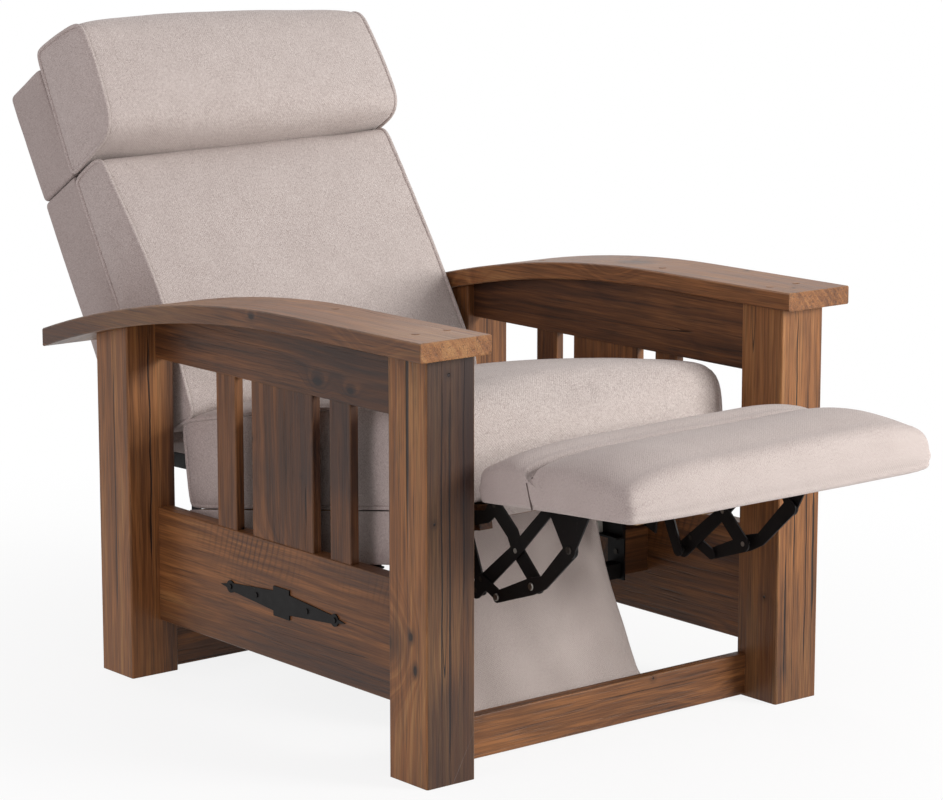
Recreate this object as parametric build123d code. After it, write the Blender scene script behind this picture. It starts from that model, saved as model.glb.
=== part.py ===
"""Mission reclining armchair: post-and-rail oak frame, upholstered seat and back,
steel glide and footrest linkage.

Millimetres, +Z up. The chair faces -Y, its left side is -X. The origin is on the floor,
midway between the side frames and midway between the front and rear posts. The chair is
modelled with its footrest out and its back on the upright stop.
"""
from build123d import *
from math import atan2, cos, degrees, pi, radians, sin, sqrt, tan
import os

# Oak frame
POST_WIDTH = 90.0           # square posts
FRAME_WIDTH = 800.0         # over the outer faces of the posts
FRAME_DEPTH = 868.0         # over the front and rear faces of the posts
ARM_TOP = 669.0             # height of the level front of the arms
ARM_THICK = 29.0
ARM_WIDTH = 131.6
ARM_OVERHANG_SIDE = 31.0    # arm beyond the outer face of the posts
ARM_OVERHANG_FRONT = 25.0
ARM_OVERHANG_REAR = 115.0
ARM_LEVEL_END = 284.0       # from the front face of the front posts to where the bow starts
ARM_BOW_RADIUS = 2330.0     # top of the bowed rear part of the arm
EDGE_EASE = 2.0             # bevelled edges of posts and arms
SLAT_EASE = 1.2
LOWER_RAIL_BOTTOM = 91.0
LOWER_RAIL_HEIGHT = 190.0
LOWER_RAIL_THICK = 28.0
RAIL_RECESS = 56.0          # side rails behind the outer face of the posts
UPPER_RAIL_BOTTOM = 530.0
UPPER_RAIL_THICK = 20.0
SLAT_THICK = 16.0
SLAT_RECESS = 2.0           # slats behind the outer face of the rails
NARROW_SLAT = 52.0
WIDE_SLAT = 160.0
SLAT_GAP = 44.0
STRETCHER_THICK = 20.0
STRETCHER_BOTTOM = 3.0
STRETCHER_HEIGHT = 67.0
STRETCHER_RECESS = 70.0     # front stretcher behind the front face of the posts
REAR_STRETCHER_HEIGHT = 80.0
REAR_STRETCHER_INSET = 16.0 # rear stretcher behind the front face of the rear posts
PLUG_RADIUS = 6.0
PLUG_DEPTH = 8.0
PLUG_PROUD = 0.5
PLUG_SPREAD = 58.0          # between the two plugs over a post
RAIL_PLUG_FROM_FRONT = 303.0
SCREW_RADIUS = 2.5
SCREW_HEAD_RADIUS = 4.5
SCREW_HEAD_HEIGHT = 1.6
SCREW_LENGTH = 14.0

# Ornamental strap plates on the lower rails
STRAP_THICK = 2.5
STRAP_BLOCK_WIDTH = 42.0
STRAP_BLOCK_HEIGHT = 48.0
STRAP_NECK_HEIGHT = 32.0
STRAP_END_HEIGHT = 12.0
STRAP_LOBE_AT = 138.0       # lobe centre from the middle of the plate
STRAP_LOBE_RADIUS = 10.0
STRAP_TIP_AT = 164.5
STRAP_INNER_SCREW_AT = 67.0
STRAP_HEIGHT_ON_RAIL = 97.0 # plate centre above the bottom of the lower rail

# Seat, in a frame that tips back with it
SEAT_TILT = 9.6
SEAT_REAR = 335.0           # y of the seat's lower rear edge
SEAT_REAR_HEIGHT = 272.0    # z of that edge
SEAT_LENGTH = 708.0         # to the foremost swell of the cushion
SEAT_SIDE_GAP = 22.0        # from the cushion to the inner faces of the posts
SEAT_CUSHION_HEIGHT = 158.0
SEAT_CROWN = 22.0
SEAT_FRONT_BULGE = 16.0
SEAT_FRONT_FOOT = 30.0      # further set-back of the cushion's lower front edge
SIDE_DRAW = 6.0             # how far a cushion's ends are drawn in
RAIL_WOOD = 25.0            # thickness of the seat's wooden rails
SEAT_RAIL_INSET = 1.0       # outer face of the side rails inside the cushion's side
SEAT_RAIL_HEIGHT = 80.0
SEAT_RAIL_SHORT = 68.0      # side rails end this far behind the cushion's front
NECK_BEHIND_PIVOT = 21.1    # where the seat plate dips under the cushion's front edge
NECK_DROP = 20.0
INNER_RAIL_GAP = 7.0        # from the inner rails to the innermost links
INNER_RAIL_HEIGHT = 40.0
SEAT_FRONT_RAIL_HEIGHT = 22.0
SKIRT_CLEAT_AT = 435.0      # from the seat's rear edge
SKIRT_CLEAT_HEIGHT = 30.0
WEB_WIDTH = 50.0
WEB_THICK = 2.0
WEB_COUNT = 5
PANEL_THICK = 3.0
FIT = 0.3                   # clearance of soft parts from their neighbours
# Sections of every cushion, from one end to the other: place across, fullness, and how far drawn in
STATION_SHARES = (-1.0, -0.94, -0.65, 0.0, 0.65, 0.94, 1.0)
CROWN_SHARES = (0.15, 0.45, 0.86, 1.0, 0.86, 0.45, 0.15)
DRAW_SHARES = (1.0, 0.25, 0.0, 0.0, 0.0, 0.25, 1.0)
DECK_GAP = 3.3              # from the cushion down to the top of the wood

# Back, in a frame that leans back with it, measured from its upper rear corner
BACK_ANGLE = 31.2
BACK_TOP_Y = 864.0
BACK_TOP_Z = 912.0
BACK_SIDE_GAP = 19.0        # from the back to the inner faces of the posts
SHELL_DEPTH = 108.0
HEAD_SHELL_HEIGHT = 203.0
BACK_LENGTH = 700.0
SHELL_WALL = 12.0
SHELL_EASE = 3.0
SEAM_GAP = 0.6
BACK_CUSHION_DEPTH = 152.0
BACK_CUSHION_CROWN = 28.0
BACK_CUSHION_TOP = 220.0    # below the top of the shell
BACK_CUSHION_BOTTOM = 688.0
HEAD_CUSHION_DEPTH = 152.0
HEAD_CUSHION_RISE = 4.0
HEAD_CUSHION_BOTTOM = 210.0
HEAD_CUSHION_CROWN = 34.0
HEAD_CUSHION_OVERHANG = 8.0     # its ends beyond the sides of the back
HEAD_TOP_CROWN = 16.0
HEAD_TAPER = 5.0            # how much shallower a cushion is at its top
BACK_TAPER = 45.0
CUSHION_MIDDLE_SHARE = 0.5  # height of the fullest place of the back cushion
HEAD_SAG_SHARE = 0.36       # the same on the head cushion, which hangs forward
BRACKET_ROOM = 8.0          # from the stiles to the seat's side rails
STILE_WIDTH = 28.0
STILE_DEPTH = 60.0
STILE_FROM_REAR = SHELL_WALL + FIT
BACK_RAIL_HEIGHT = 60.0
BACK_RAIL_THICK = 24.0
BACK_RAIL_SHARES = (0.06, 0.36, 0.66, 0.94)
BACK_WEB_COUNT = 4

# Recline pivot
RECLINE_BEHIND = 21.0       # behind the seat's rear edge, and above it
RECLINE_ABOVE = 68.0
PIVOT_RADIUS = 5.0
BRACKET_BAND = 12.0         # half width of the bracket bands
STILE_BRACKET_REACH = 110.0 # how far they run along the stiles and the seat rails
RAIL_BRACKET_REACH = 60.0

# Footrest, in a frame that tips with it
FOOTREST_TILT = 3.4
FOOTREST_BEHIND_PIVOT = 68.2    # its inner edge from the bracket's upper pivot
FOOTREST_ABOVE_PIVOT = 5.5
FOOTREST_LENGTH = 338.0
FOOTREST_SIDE_GAP = 12.0    # from the footrest to the line of the posts' inner faces
FOOTREST_GROOVE_AT = 118.0
FOOTREST_INNER_HEIGHT = 74.0
FOOTREST_GROOVE_HEIGHT = 56.0
FOOTREST_OUTER_HEIGHT = 80.0
FOOTREST_CROWN = 8.0
FOOTREST_END_DROP = 16.0    # the rolls sink towards the ends, the groove half as much
FOOTREST_END_ROUND = 12.0
BOARD_THICK = 12.0
BOARD_INSET = 14.0

# Steel linkage with the footrest out. Places are shares of the span, ahead of the front
# swing link's pivot on the seat plate and above it.
PIVOT_SETBACK = 6.0         # that pivot behind the seat's front
PIVOT_DROP = 1.25           # and below the line of the cushion's underside
LINK_SPAN = 200.0
PLATE_REAR_SHARES = (-0.4175, -0.184)       # rear swing link on the seat plate
LOWER_JOINT_SHARES = (0.5055, -0.52)        # front swing link on the lower footrest link
CROSS_JOINT_SHARES = (0.272, -0.2995)       # front swing link on the upper footrest link
TAIL_JOINT_SHARES = (-0.1915, -0.6905)      # rear swing link on the upper footrest link
BRACKET_LOWER_SHARES = (0.95, -0.162)       # lower footrest link on the footrest bracket
BRACKET_UPPER_SHARES = (0.7055, 0.126)      # upper footrest link on the footrest bracket
SHORT_UPPER_SHARES = (-0.111, -0.585)       # short link on the upper footrest link
SHORT_LOWER_SHARES = (0.1065, -0.678)       # short link on the lower footrest link
LOWER_KNEE_SHARES = (0.6395, -0.469)        # bend of the lower footrest link
SWING_KNEE_SHARES = (0.2145, -0.179)        # fullest place of the front swing link
WING_REAR_SHARES = (-0.7455, -0.509)        # lower corners of the seat plate's wing
WING_FRONT_SHARES = (-0.4755, -0.609)
PLATE = 3.0                 # steel thickness
LAYER = 4.0                 # from one link plane to the next
LINK_INSET = 62.0           # innermost links inside the seat's side rails
EYE = 13.0                  # radius of the steel round a pivot
SMALL_EYE = 9.0             # the same close under the footrest board
WAIST = 10.0                # half width of the long links
STRIP_HALF = 9.5            # half width of the seat plate's arm
PIN = 4.0
PIN_FIT = 0.15
RIVET_HEAD_RADIUS = 6.0
RIVET_HEAD = 2.5
FLANGE_WIDTH = 26.0
BRACKET_BEHIND_PIVOT = 14.2     # ends of the footrest bracket from its upper pivot
BRACKET_AHEAD_OF_PIVOT = 101.8
FLANGE_BEHIND_PIVOT = 117.1     # seat plate flange behind the front pivot
FLANGE_LENGTH = 122.0
PLATE_WEB = 17.0            # height of the seat plate's web under the cushion
FRONT_LUG_AHEAD = 60.0      # glide lugs, from the middle of the frame
REAR_LUG_BEHIND = 200.0
LUG_WIDTH = 26.0
WING_REACH = 60.0           # how far back along the web the wing starts

# Glide under the seat
GLIDE_TRAVEL = 72.0
CHANNEL_GAP = 4.0           # from the channels to the seat's side rails
CHANNEL_WIDTH = 17.0
CHANNEL_BOTTOM = 225.0
CHANNEL_HEIGHT = 30.0
CHANNEL_FRONT = 128.0       # ahead of the origin
CHANNEL_SPARE = 4.0         # channel left behind the rear block at full travel
BLOCK_LENGTH = 36.0
BLOCK_WIDTH = 12.0
BLOCK_FIT = 0.3
GLIDE_BOLT = 4.0
FRONT_HANGER_BOTTOM = 154.0
REAR_HANGER_BOTTOM = 100.0  # low enough for the seat rails to pass over the cleat
HANGER_WIDTH = 40.0
REAR_HANGER_AT = 200.0      # behind the origin, front edge
CLEAT_HEIGHT = 76.0
CLEAT_RISE = 8.0            # above the foot of the hanger
CLEAT_LENGTH = 70.0
CLEAT_INSET = 6.0
TUBE = 25.0
TUBE_WALL = 2.0
TUBE_DROP = 3.0

# Fabric skirt from the seat down to the front stretcher
SKIRT_INSET = 1.0           # the skirt's sides inside the inner rails
SKIRT_THICK = 2.4
SKIRT_FLOOR = 9.0
SKIRT_SWAY = 4.0
SKIRT_FOLD_SHARES = (0.0, 0.8, -0.5, 0.6, -0.9, 0.4, 0.0)
LOOSE_SHARE = 0.2           # where the folds reach their full depth
# Places down the sheet: share of its forward reach, share of its fall, and how far it faces forward
SKIRT_SHARES = ((0.0, 0.0, 1.0), (0.005, 0.14, 1.0), (0.08, 0.43, 0.97), (0.2, 0.67, 0.93), (0.32, 0.85, 0.88),
                (0.57, 1.0, 0.0), (1.0, 1.0, 0.0))

OVERRUN = 5.0               # extra reach of every cutting body
SMALL_SIDES = 12            # faces round pins, rivets, screws, plugs and their holes

# Worked-out places
HALF_WIDTH = FRAME_WIDTH / 2
HALF_DEPTH = FRAME_DEPTH / 2
POST_INNER = HALF_WIDTH - POST_WIDTH
RAIL_OUTER = HALF_WIDTH - RAIL_RECESS
SPAN = FRAME_DEPTH / 2 - POST_WIDTH               # posts' inner faces, front and rear
ARM_OUTER = HALF_WIDTH + ARM_OVERHANG_SIDE
BOW_START = -HALF_DEPTH + ARM_LEVEL_END
ARM_FRONT = -HALF_DEPTH - ARM_OVERHANG_FRONT
ARM_REAR = HALF_DEPTH + ARM_OVERHANG_REAR
LOWER_RAIL_TOP = LOWER_RAIL_BOTTOM + LOWER_RAIL_HEIGHT
RAIL_INNER = RAIL_OUTER - LOWER_RAIL_THICK
STRETCHER_Y = -HALF_DEPTH + STRETCHER_RECESS
SEAT_CUSHION_WIDTH = 2 * (POST_INNER - SEAT_SIDE_GAP)
SEAT_RAIL_INNER = SEAT_CUSHION_WIDTH / 2 - SEAT_RAIL_INSET - RAIL_WOOD
SEAT_RAIL_LENGTH = SEAT_LENGTH - SEAT_RAIL_SHORT
FIRST_LAYER = SEAT_RAIL_INNER - LINK_INSET  # inner face of the innermost links
INNER_RAIL_OUTER = FIRST_LAYER - INNER_RAIL_GAP
SKIRT_WIDTH = 2 * (INNER_RAIL_OUTER - SKIRT_INSET)
CHANNEL_OUTER = SEAT_RAIL_INNER - CHANNEL_GAP
STILE_OUTER = SEAT_RAIL_INNER - BRACKET_ROOM
BACK_WIDTH = 2 * (POST_INNER - BACK_SIDE_GAP)
RECLINE_Y = SEAT_REAR + RECLINE_BEHIND
RECLINE_Z = SEAT_REAR_HEIGHT + RECLINE_ABOVE
LUG_AHEAD = (FRONT_LUG_AHEAD, -REAR_LUG_BEHIND)


def seat_line(distance):
    """Height of the cushion's underside at a distance ahead of the origin."""
    return SEAT_REAR_HEIGHT + tan(radians(SEAT_TILT)) * (distance + SEAT_REAR)


PIVOT_AHEAD = SEAT_LENGTH * cos(radians(SEAT_TILT)) - SEAT_REAR - PIVOT_SETBACK
PIVOT_HEIGHT = seat_line(PIVOT_AHEAD) - PIVOT_DROP


def linkage_place(shares):
    """A place of the linkage as (distance ahead of the origin, height)."""
    return (PIVOT_AHEAD + shares[0] * LINK_SPAN, PIVOT_HEIGHT + shares[1] * LINK_SPAN)


PLATE_FRONT = (PIVOT_AHEAD, PIVOT_HEIGHT)
PLATE_REAR = linkage_place(PLATE_REAR_SHARES)
LOWER_JOINT = linkage_place(LOWER_JOINT_SHARES)
CROSS_JOINT = linkage_place(CROSS_JOINT_SHARES)
TAIL_JOINT = linkage_place(TAIL_JOINT_SHARES)
BRACKET_LOWER = linkage_place(BRACKET_LOWER_SHARES)
BRACKET_UPPER = linkage_place(BRACKET_UPPER_SHARES)
SHORT_UPPER = linkage_place(SHORT_UPPER_SHARES)
SHORT_LOWER = linkage_place(SHORT_LOWER_SHARES)
LOWER_KNEE = linkage_place(LOWER_KNEE_SHARES)
SWING_KNEE = linkage_place(SWING_KNEE_SHARES)
WING_LOW_REAR = linkage_place(WING_REAR_SHARES)
WING_LOW_FRONT = linkage_place(WING_FRONT_SHARES)
SEAT_FRONT_NECK = PIVOT_AHEAD - NECK_BEHIND_PIVOT
FLANGE_FRONT = PIVOT_AHEAD - FLANGE_BEHIND_PIVOT
FLANGE_REAR = FLANGE_FRONT - FLANGE_LENGTH
BRACKET_TOP_REAR = BRACKET_UPPER[0] - BRACKET_BEHIND_PIVOT
BRACKET_TOP_FRONT = BRACKET_UPPER[0] + BRACKET_AHEAD_OF_PIVOT
FOOTREST_WIDTH = 2 * (POST_INNER - FOOTREST_SIDE_GAP)
FOOTREST_Y = FOOTREST_BEHIND_PIVOT - BRACKET_UPPER[0]
FOOTREST_Z = BRACKET_UPPER[1] + FOOTREST_ABOVE_PIVOT


def block(x0, x1, y0, y1, z0, z1):
    """A box between two corners."""
    size = Box(abs(x1 - x0), abs(y1 - y0), abs(z1 - z0))
    return Pos((x0 + x1) / 2, (y0 + y1) / 2, (z0 + z1) / 2) * size


def mirrored(solid):
    """The same piece on the other side of the chair."""
    return mirror(solid, about=Plane.YZ)


def pair(solid):
    """A piece and its mirror image as one group."""
    return Compound(children=list(solid.solids()) + list(mirrored(solid).solids()))


def group(pieces):
    """Separate solids kept together in one file."""
    return Compound(children=[s for piece in pieces for s in piece.solids()])


def side_profile(edges, x0, x1):
    """A closed outline in the side view, points given as (y, z), extruded across."""
    face = Plane.YZ.offset(x0) * make_face(edges)
    return extrude(face, amount=x1 - x0, dir=(1, 0, 0))


def small_round(radius):
    """Outline of a pin, screw or plug, with few sides."""
    return RegularPolygon(radius, SMALL_SIDES)


def pin_hole(radius, clearance):
    """Outline of a hole whose flats clear the corners of a pin that turns in it."""
    return RegularPolygon((radius + clearance) / cos(pi / SMALL_SIDES), SMALL_SIDES)


def side_disc(point, radius, x0, x1):
    """A small round bar across the chair, its centre given as (y, z)."""
    centre = Plane.YZ.offset(x0) * Pos(*point) * small_round(radius)
    return extrude(centre, amount=x1 - x0, dir=(1, 0, 0))


def side_bore(point, radius, clearance, x0, x1):
    """What a hole for a turning pin takes away."""
    centre = Plane.YZ.offset(x0) * Pos(*point) * pin_hole(radius, clearance)
    return extrude(centre, amount=x1 - x0, dir=(1, 0, 0))


def upright_disc(radius, z0, z1):
    """A small round bar along Z."""
    return extrude(Plane.XY.offset(z0) * small_round(radius), amount=z1 - z0)


def ahead(point):
    """Linkage places are distances ahead of the origin: turn them into (y, z)."""
    return (-point[0], point[1])


def eased(solid, length, direction):
    """Bevel the straight edges that run along an axis."""
    return chamfer(solid.edges().filter_by(direction), length)


# Arms and the bow that posts and rails follow
def bow_height(y, depth):
    """Height of the arm's top, or of a surface parallel to it and `depth` below."""
    if y <= BOW_START:
        return ARM_TOP - depth
    centre = ARM_TOP - ARM_BOW_RADIUS
    return centre + sqrt((ARM_BOW_RADIUS - depth) ** 2 - (y - BOW_START) ** 2)


def bow_arc(y0, y1, depth):
    """Arc of the bowed part between two places along the arm."""
    middle = (y0 + y1) / 2
    points = [(y, bow_height(y, depth)) for y in (y0, middle, y1)]
    return ThreePointArc(*points)


def plug_places():
    """Side and depth of every wooden plug on the right arm."""
    over_post = HALF_WIDTH - POST_WIDTH / 2
    front = -HALF_DEPTH + POST_WIDTH / 2
    rail = RAIL_OUTER - UPPER_RAIL_THICK / 2
    places = [(over_post + side * PLUG_SPREAD / 2, y) for y in (front, -front) for side in (-1, 1)]
    return places + [(rail, -HALF_DEPTH + RAIL_PLUG_FROM_FRONT), (rail, SPAN / 2)]


def plug(place, radius, proud):
    """A plug square to the top of the arm."""
    x, y = place
    lean = 0.0 if y <= BOW_START else degrees(atan2(y - BOW_START, bow_height(y, 0) + ARM_BOW_RADIUS - ARM_TOP))
    return Pos(x, y, bow_height(y, 0)) * Rot(-lean, 0, 0) * upright_disc(radius, -PLUG_DEPTH, proud)


def arm():
    inner = ARM_OUTER - ARM_WIDTH
    rear_low = (ARM_REAR, bow_height(ARM_REAR, ARM_THICK))
    outline = [
        Line((ARM_FRONT, ARM_TOP), (BOW_START, ARM_TOP)),
        bow_arc(BOW_START, ARM_REAR, 0),
        Line((ARM_REAR, bow_height(ARM_REAR, 0)), rear_low),
        bow_arc(BOW_START, ARM_REAR, ARM_THICK),
        Line((BOW_START, ARM_TOP - ARM_THICK), (ARM_FRONT, ARM_TOP - ARM_THICK)),
        Line((ARM_FRONT, ARM_TOP - ARM_THICK), (ARM_FRONT, ARM_TOP)),
    ]
    body = side_profile(outline, inner, ARM_OUTER)
    long_edges = [e for e in body.edges() if abs(e.center().X - (inner + ARM_OUTER) / 2) > ARM_WIDTH / 3]
    body = chamfer([e for e in long_edges if e.length > 2 * ARM_THICK], EDGE_EASE)
    for place in plug_places():
        body -= plug(place, PLUG_RADIUS, OVERRUN)
    return body


def plugs():
    return pair(group([plug(place, PLUG_RADIUS, PLUG_PROUD) for place in plug_places()]))


def front_post():
    y0 = -HALF_DEPTH
    body = block(POST_INNER, HALF_WIDTH, y0, y0 + POST_WIDTH, 0, ARM_TOP - ARM_THICK)
    return eased(body, EDGE_EASE, Axis.Z)


def rear_post():
    outline = [
        Line((SPAN, 0), (HALF_DEPTH, 0)),
        Line((HALF_DEPTH, 0), (HALF_DEPTH, bow_height(HALF_DEPTH, ARM_THICK))),
        bow_arc(SPAN, HALF_DEPTH, ARM_THICK),
        Line((SPAN, bow_height(SPAN, ARM_THICK)), (SPAN, 0)),
    ]
    return eased(side_profile(outline, POST_INNER, HALF_WIDTH), EDGE_EASE, Axis.Z)


# Side frames and stretchers
def upper_rail():
    top = ARM_TOP - ARM_THICK
    outline = [
        Line((-SPAN, UPPER_RAIL_BOTTOM), (SPAN, UPPER_RAIL_BOTTOM)),
        Line((SPAN, UPPER_RAIL_BOTTOM), (SPAN, bow_height(SPAN, ARM_THICK))),
        bow_arc(BOW_START, SPAN, ARM_THICK),
        Line((BOW_START, top), (-SPAN, top)),
        Line((-SPAN, top), (-SPAN, UPPER_RAIL_BOTTOM)),
    ]
    return side_profile(outline, RAIL_OUTER - UPPER_RAIL_THICK, RAIL_OUTER)


def lower_rail():
    body = block(RAIL_INNER, RAIL_OUTER, -SPAN, SPAN, LOWER_RAIL_BOTTOM, LOWER_RAIL_TOP)
    return eased(body, SLAT_EASE, Axis.Y)


def slats():
    outer = RAIL_OUTER - SLAT_RECESS
    wide = (-WIDE_SLAT / 2, WIDE_SLAT / 2)
    front = (wide[0] - SLAT_GAP - NARROW_SLAT, wide[0] - SLAT_GAP)
    rear = (wide[1] + SLAT_GAP, wide[1] + SLAT_GAP + NARROW_SLAT)
    pieces = [block(outer - SLAT_THICK, outer, y0, y1, LOWER_RAIL_TOP, UPPER_RAIL_BOTTOM)
              for y0, y1 in (front, wide, rear)]
    return group([eased(piece, SLAT_EASE, Axis.Z) for piece in pieces])


def stretcher(y0, height):
    body = block(-POST_INNER, POST_INNER, y0, y0 + STRETCHER_THICK, STRETCHER_BOTTOM, STRETCHER_BOTTOM + height)
    return eased(body, SLAT_EASE, Axis.X)


# Ornamental strap plate, its outline given from its middle
def strap_screw_places():
    height = LOWER_RAIL_BOTTOM + STRAP_HEIGHT_ON_RAIL
    return [(side * at, height) for at in (STRAP_LOBE_AT, STRAP_INNER_SCREW_AT) for side in (-1, 1)]


def strap_plate():
    half = STRAP_BLOCK_WIDTH / 2
    neck, end = STRAP_NECK_HEIGHT / 2, STRAP_END_HEIGHT / 2
    outline = Rectangle(STRAP_BLOCK_WIDTH, STRAP_BLOCK_HEIGHT)
    for side in (-1, 1):
        strap = Polyline((side * half, -neck), (side * half, neck), (side * STRAP_LOBE_AT, end),
                         (side * STRAP_LOBE_AT, -end), close=True)
        tip = Polyline((side * STRAP_LOBE_AT, -STRAP_LOBE_RADIUS / 2), (side * STRAP_TIP_AT, 0),
                       (side * STRAP_LOBE_AT, STRAP_LOBE_RADIUS / 2), close=True)
        lobe = Pos(side * STRAP_LOBE_AT, 0) * Circle(STRAP_LOBE_RADIUS)
        outline += make_face(strap) + make_face(tip) + lobe
    height = LOWER_RAIL_BOTTOM + STRAP_HEIGHT_ON_RAIL
    face = Plane.YZ.offset(RAIL_OUTER) * Pos(0, height) * outline
    body = extrude(face, amount=STRAP_THICK, dir=(1, 0, 0))
    for place in strap_screw_places():
        body -= side_disc(place, SCREW_RADIUS, RAIL_OUTER - OVERRUN, RAIL_OUTER + STRAP_THICK + OVERRUN)
    return body


def screw(point, x_face, length, head=SCREW_HEAD_HEIGHT):
    """A screw driven inwards from a face, its head outside."""
    shank = side_disc(point, SCREW_RADIUS, x_face - length, x_face)
    return shank + side_disc(point, SCREW_HEAD_RADIUS, x_face, x_face + head)


def strap_screws():
    face = RAIL_OUTER + STRAP_THICK
    return pair(group([screw(place, face, STRAP_THICK) for place in strap_screw_places()]))


# Seat frame: the local origin is the seat's lower rear edge, +Y rearwards
def on_seat(solid):
    return Pos(0, SEAT_REAR, SEAT_REAR_HEIGHT) * Rot(-SEAT_TILT, 0, 0) * solid


def seat_side_rail():
    top = -DECK_GAP
    return on_seat(block(SEAT_RAIL_INNER, SEAT_RAIL_INNER + RAIL_WOOD, -SEAT_RAIL_LENGTH, 0,
                         top - SEAT_RAIL_HEIGHT, top))


def seat_inner_rails():
    body = block(INNER_RAIL_OUTER - RAIL_WOOD, INNER_RAIL_OUTER, -SEAT_RAIL_LENGTH, -RAIL_WOOD,
                 -DECK_GAP - INNER_RAIL_HEIGHT, -DECK_GAP)
    return on_seat(pair(body))


def seat_front_rail():
    front = -SEAT_RAIL_LENGTH - RAIL_WOOD
    return on_seat(block(-INNER_RAIL_OUTER, INNER_RAIL_OUTER, front, -SEAT_RAIL_LENGTH,
                         -DECK_GAP - SEAT_FRONT_RAIL_HEIGHT, -DECK_GAP))


def seat_rear_rail():
    half = SEAT_RAIL_INNER - PLATE
    return on_seat(block(-half, half, -RAIL_WOOD, 0, -DECK_GAP - SEAT_RAIL_HEIGHT, -DECK_GAP))


def skirt_cleat():
    top = -DECK_GAP - INNER_RAIL_HEIGHT
    return on_seat(block(-INNER_RAIL_OUTER, INNER_RAIL_OUTER, -SKIRT_CLEAT_AT - RAIL_WOOD,
                         -SKIRT_CLEAT_AT, top - SKIRT_CLEAT_HEIGHT, top))


def seat_webbing():
    pitch = SEAT_RAIL_LENGTH / (WEB_COUNT + 1)
    straps = [block(-INNER_RAIL_OUTER, INNER_RAIL_OUTER, -i * pitch - WEB_WIDTH / 2,
                    -i * pitch + WEB_WIDTH / 2, -DECK_GAP, -DECK_GAP + WEB_THICK)
              for i in range(1, WEB_COUNT + 1)]
    return on_seat(group(straps))


def seat_panels():
    """Fabric panels over the side rails and the front band under the cushion."""
    outer = SEAT_RAIL_INNER + RAIL_WOOD
    low = -DECK_GAP - SEAT_RAIL_HEIGHT
    side = block(outer, outer + PANEL_THICK, -SEAT_RAIL_LENGTH, 0, low, -FIT)
    front = -SEAT_RAIL_LENGTH - RAIL_WOOD
    band = block(-INNER_RAIL_OUTER, INNER_RAIL_OUTER, front - PANEL_THICK, front,
                 -DECK_GAP - SEAT_FRONT_RAIL_HEIGHT, -FIT - DECK_GAP / 2)
    return on_seat(group([pair(side), band]))


# Cushions are lofted from side-view sections
def cushion(width, outline):
    """Loft a cushion through sections; `outline` gives one for a crown and a draw share."""
    sections = []
    for place, crown, draw in zip(STATION_SHARES, CROWN_SHARES, DRAW_SHARES):
        face = make_face(outline(crown, draw))
        sections.append(Plane.YZ.offset(place * width / 2) * face)
    return loft(sections, ruled=True)


def seat_outline(crown, draw):
    """Section of the seat cushion: a waterfall front and a crowned top."""
    inset = draw * SIDE_DRAW
    top = SEAT_CUSHION_HEIGHT - inset
    front = -SEAT_LENGTH + inset + (1 - crown) * SEAT_FRONT_BULGE / 2
    foot = front + SEAT_FRONT_BULGE + SEAT_FRONT_FOOT
    nose = top / 2 + SEAT_CROWN / 2
    shoulder = front + SEAT_CUSHION_HEIGHT / 2
    shoulder_top = top + crown * SEAT_CROWN / 2
    middle = (shoulder - inset) / 2
    rear_top = (-SEAT_CROWN, top - SEAT_CROWN / 2)
    return [
        Line((-inset, inset), (foot, inset)),
        ThreePointArc((foot, inset), (front + SEAT_FRONT_FOOT / 2, nose / 2), (front, nose)),
        ThreePointArc((front, nose), (front + SEAT_FRONT_BULGE, (nose + shoulder_top) / 2 + SEAT_CROWN / 2),
                      (shoulder, shoulder_top)),
        ThreePointArc((shoulder, shoulder_top), (middle, top + crown * SEAT_CROWN), rear_top),
        Line(rear_top, (-inset, inset)),
    ]


def seat_cushion():
    return on_seat(cushion(SEAT_CUSHION_WIDTH, seat_outline))


# Back: the local origin is its upper rear corner, +Z up along the back
def on_back(solid):
    return Pos(0, BACK_TOP_Y, BACK_TOP_Z) * Rot(-BACK_ANGLE, 0, 0) * solid


def on_back_point(forward, below):
    """Side-view place of a point given forward of the rear face and below the top."""
    lean = radians(BACK_ANGLE)
    y = BACK_TOP_Y - forward * cos(lean) - below * sin(lean)
    return (y, BACK_TOP_Z + forward * sin(lean) - below * cos(lean))


def shell(top, bottom, closed_top):
    """Upholstered outer back: a tray that is open towards the cushions."""
    half = BACK_WIDTH / 2
    body = block(-half, half, -SHELL_DEPTH, 0, -bottom, -top)
    rear_edges = [e for e in body.edges() if e.center().Y > -OVERRUN]
    body = fillet(rear_edges, SHELL_EASE)
    roof = top + (SHELL_WALL if closed_top else -OVERRUN)
    inner = half - SHELL_WALL
    return body - block(-inner, inner, -SHELL_DEPTH - OVERRUN, -SHELL_WALL, -bottom - OVERRUN, -roof)


def head_shell():
    return on_back(shell(0, HEAD_SHELL_HEIGHT, True))


def back_shell():
    return on_back(shell(HEAD_SHELL_HEIGHT + SEAM_GAP, BACK_LENGTH, False))


def back_frame():
    top, bottom = STILE_FROM_REAR, BACK_LENGTH - STILE_FROM_REAR
    rear, front = -STILE_FROM_REAR, -STILE_FROM_REAR - STILE_DEPTH
    stile = block(STILE_OUTER - STILE_WIDTH, STILE_OUTER, front, rear, -bottom, -top)
    inner = STILE_OUTER - STILE_WIDTH
    rails = []
    for share in BACK_RAIL_SHARES:
        z = -(top + share * (bottom - top))
        rails.append(block(-inner, inner, rear - BACK_RAIL_THICK, rear,
                           z - BACK_RAIL_HEIGHT / 2 + STILE_FROM_REAR / 2, z + BACK_RAIL_HEIGHT / 2))
    return on_back(group([pair(stile)] + rails))


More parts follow.
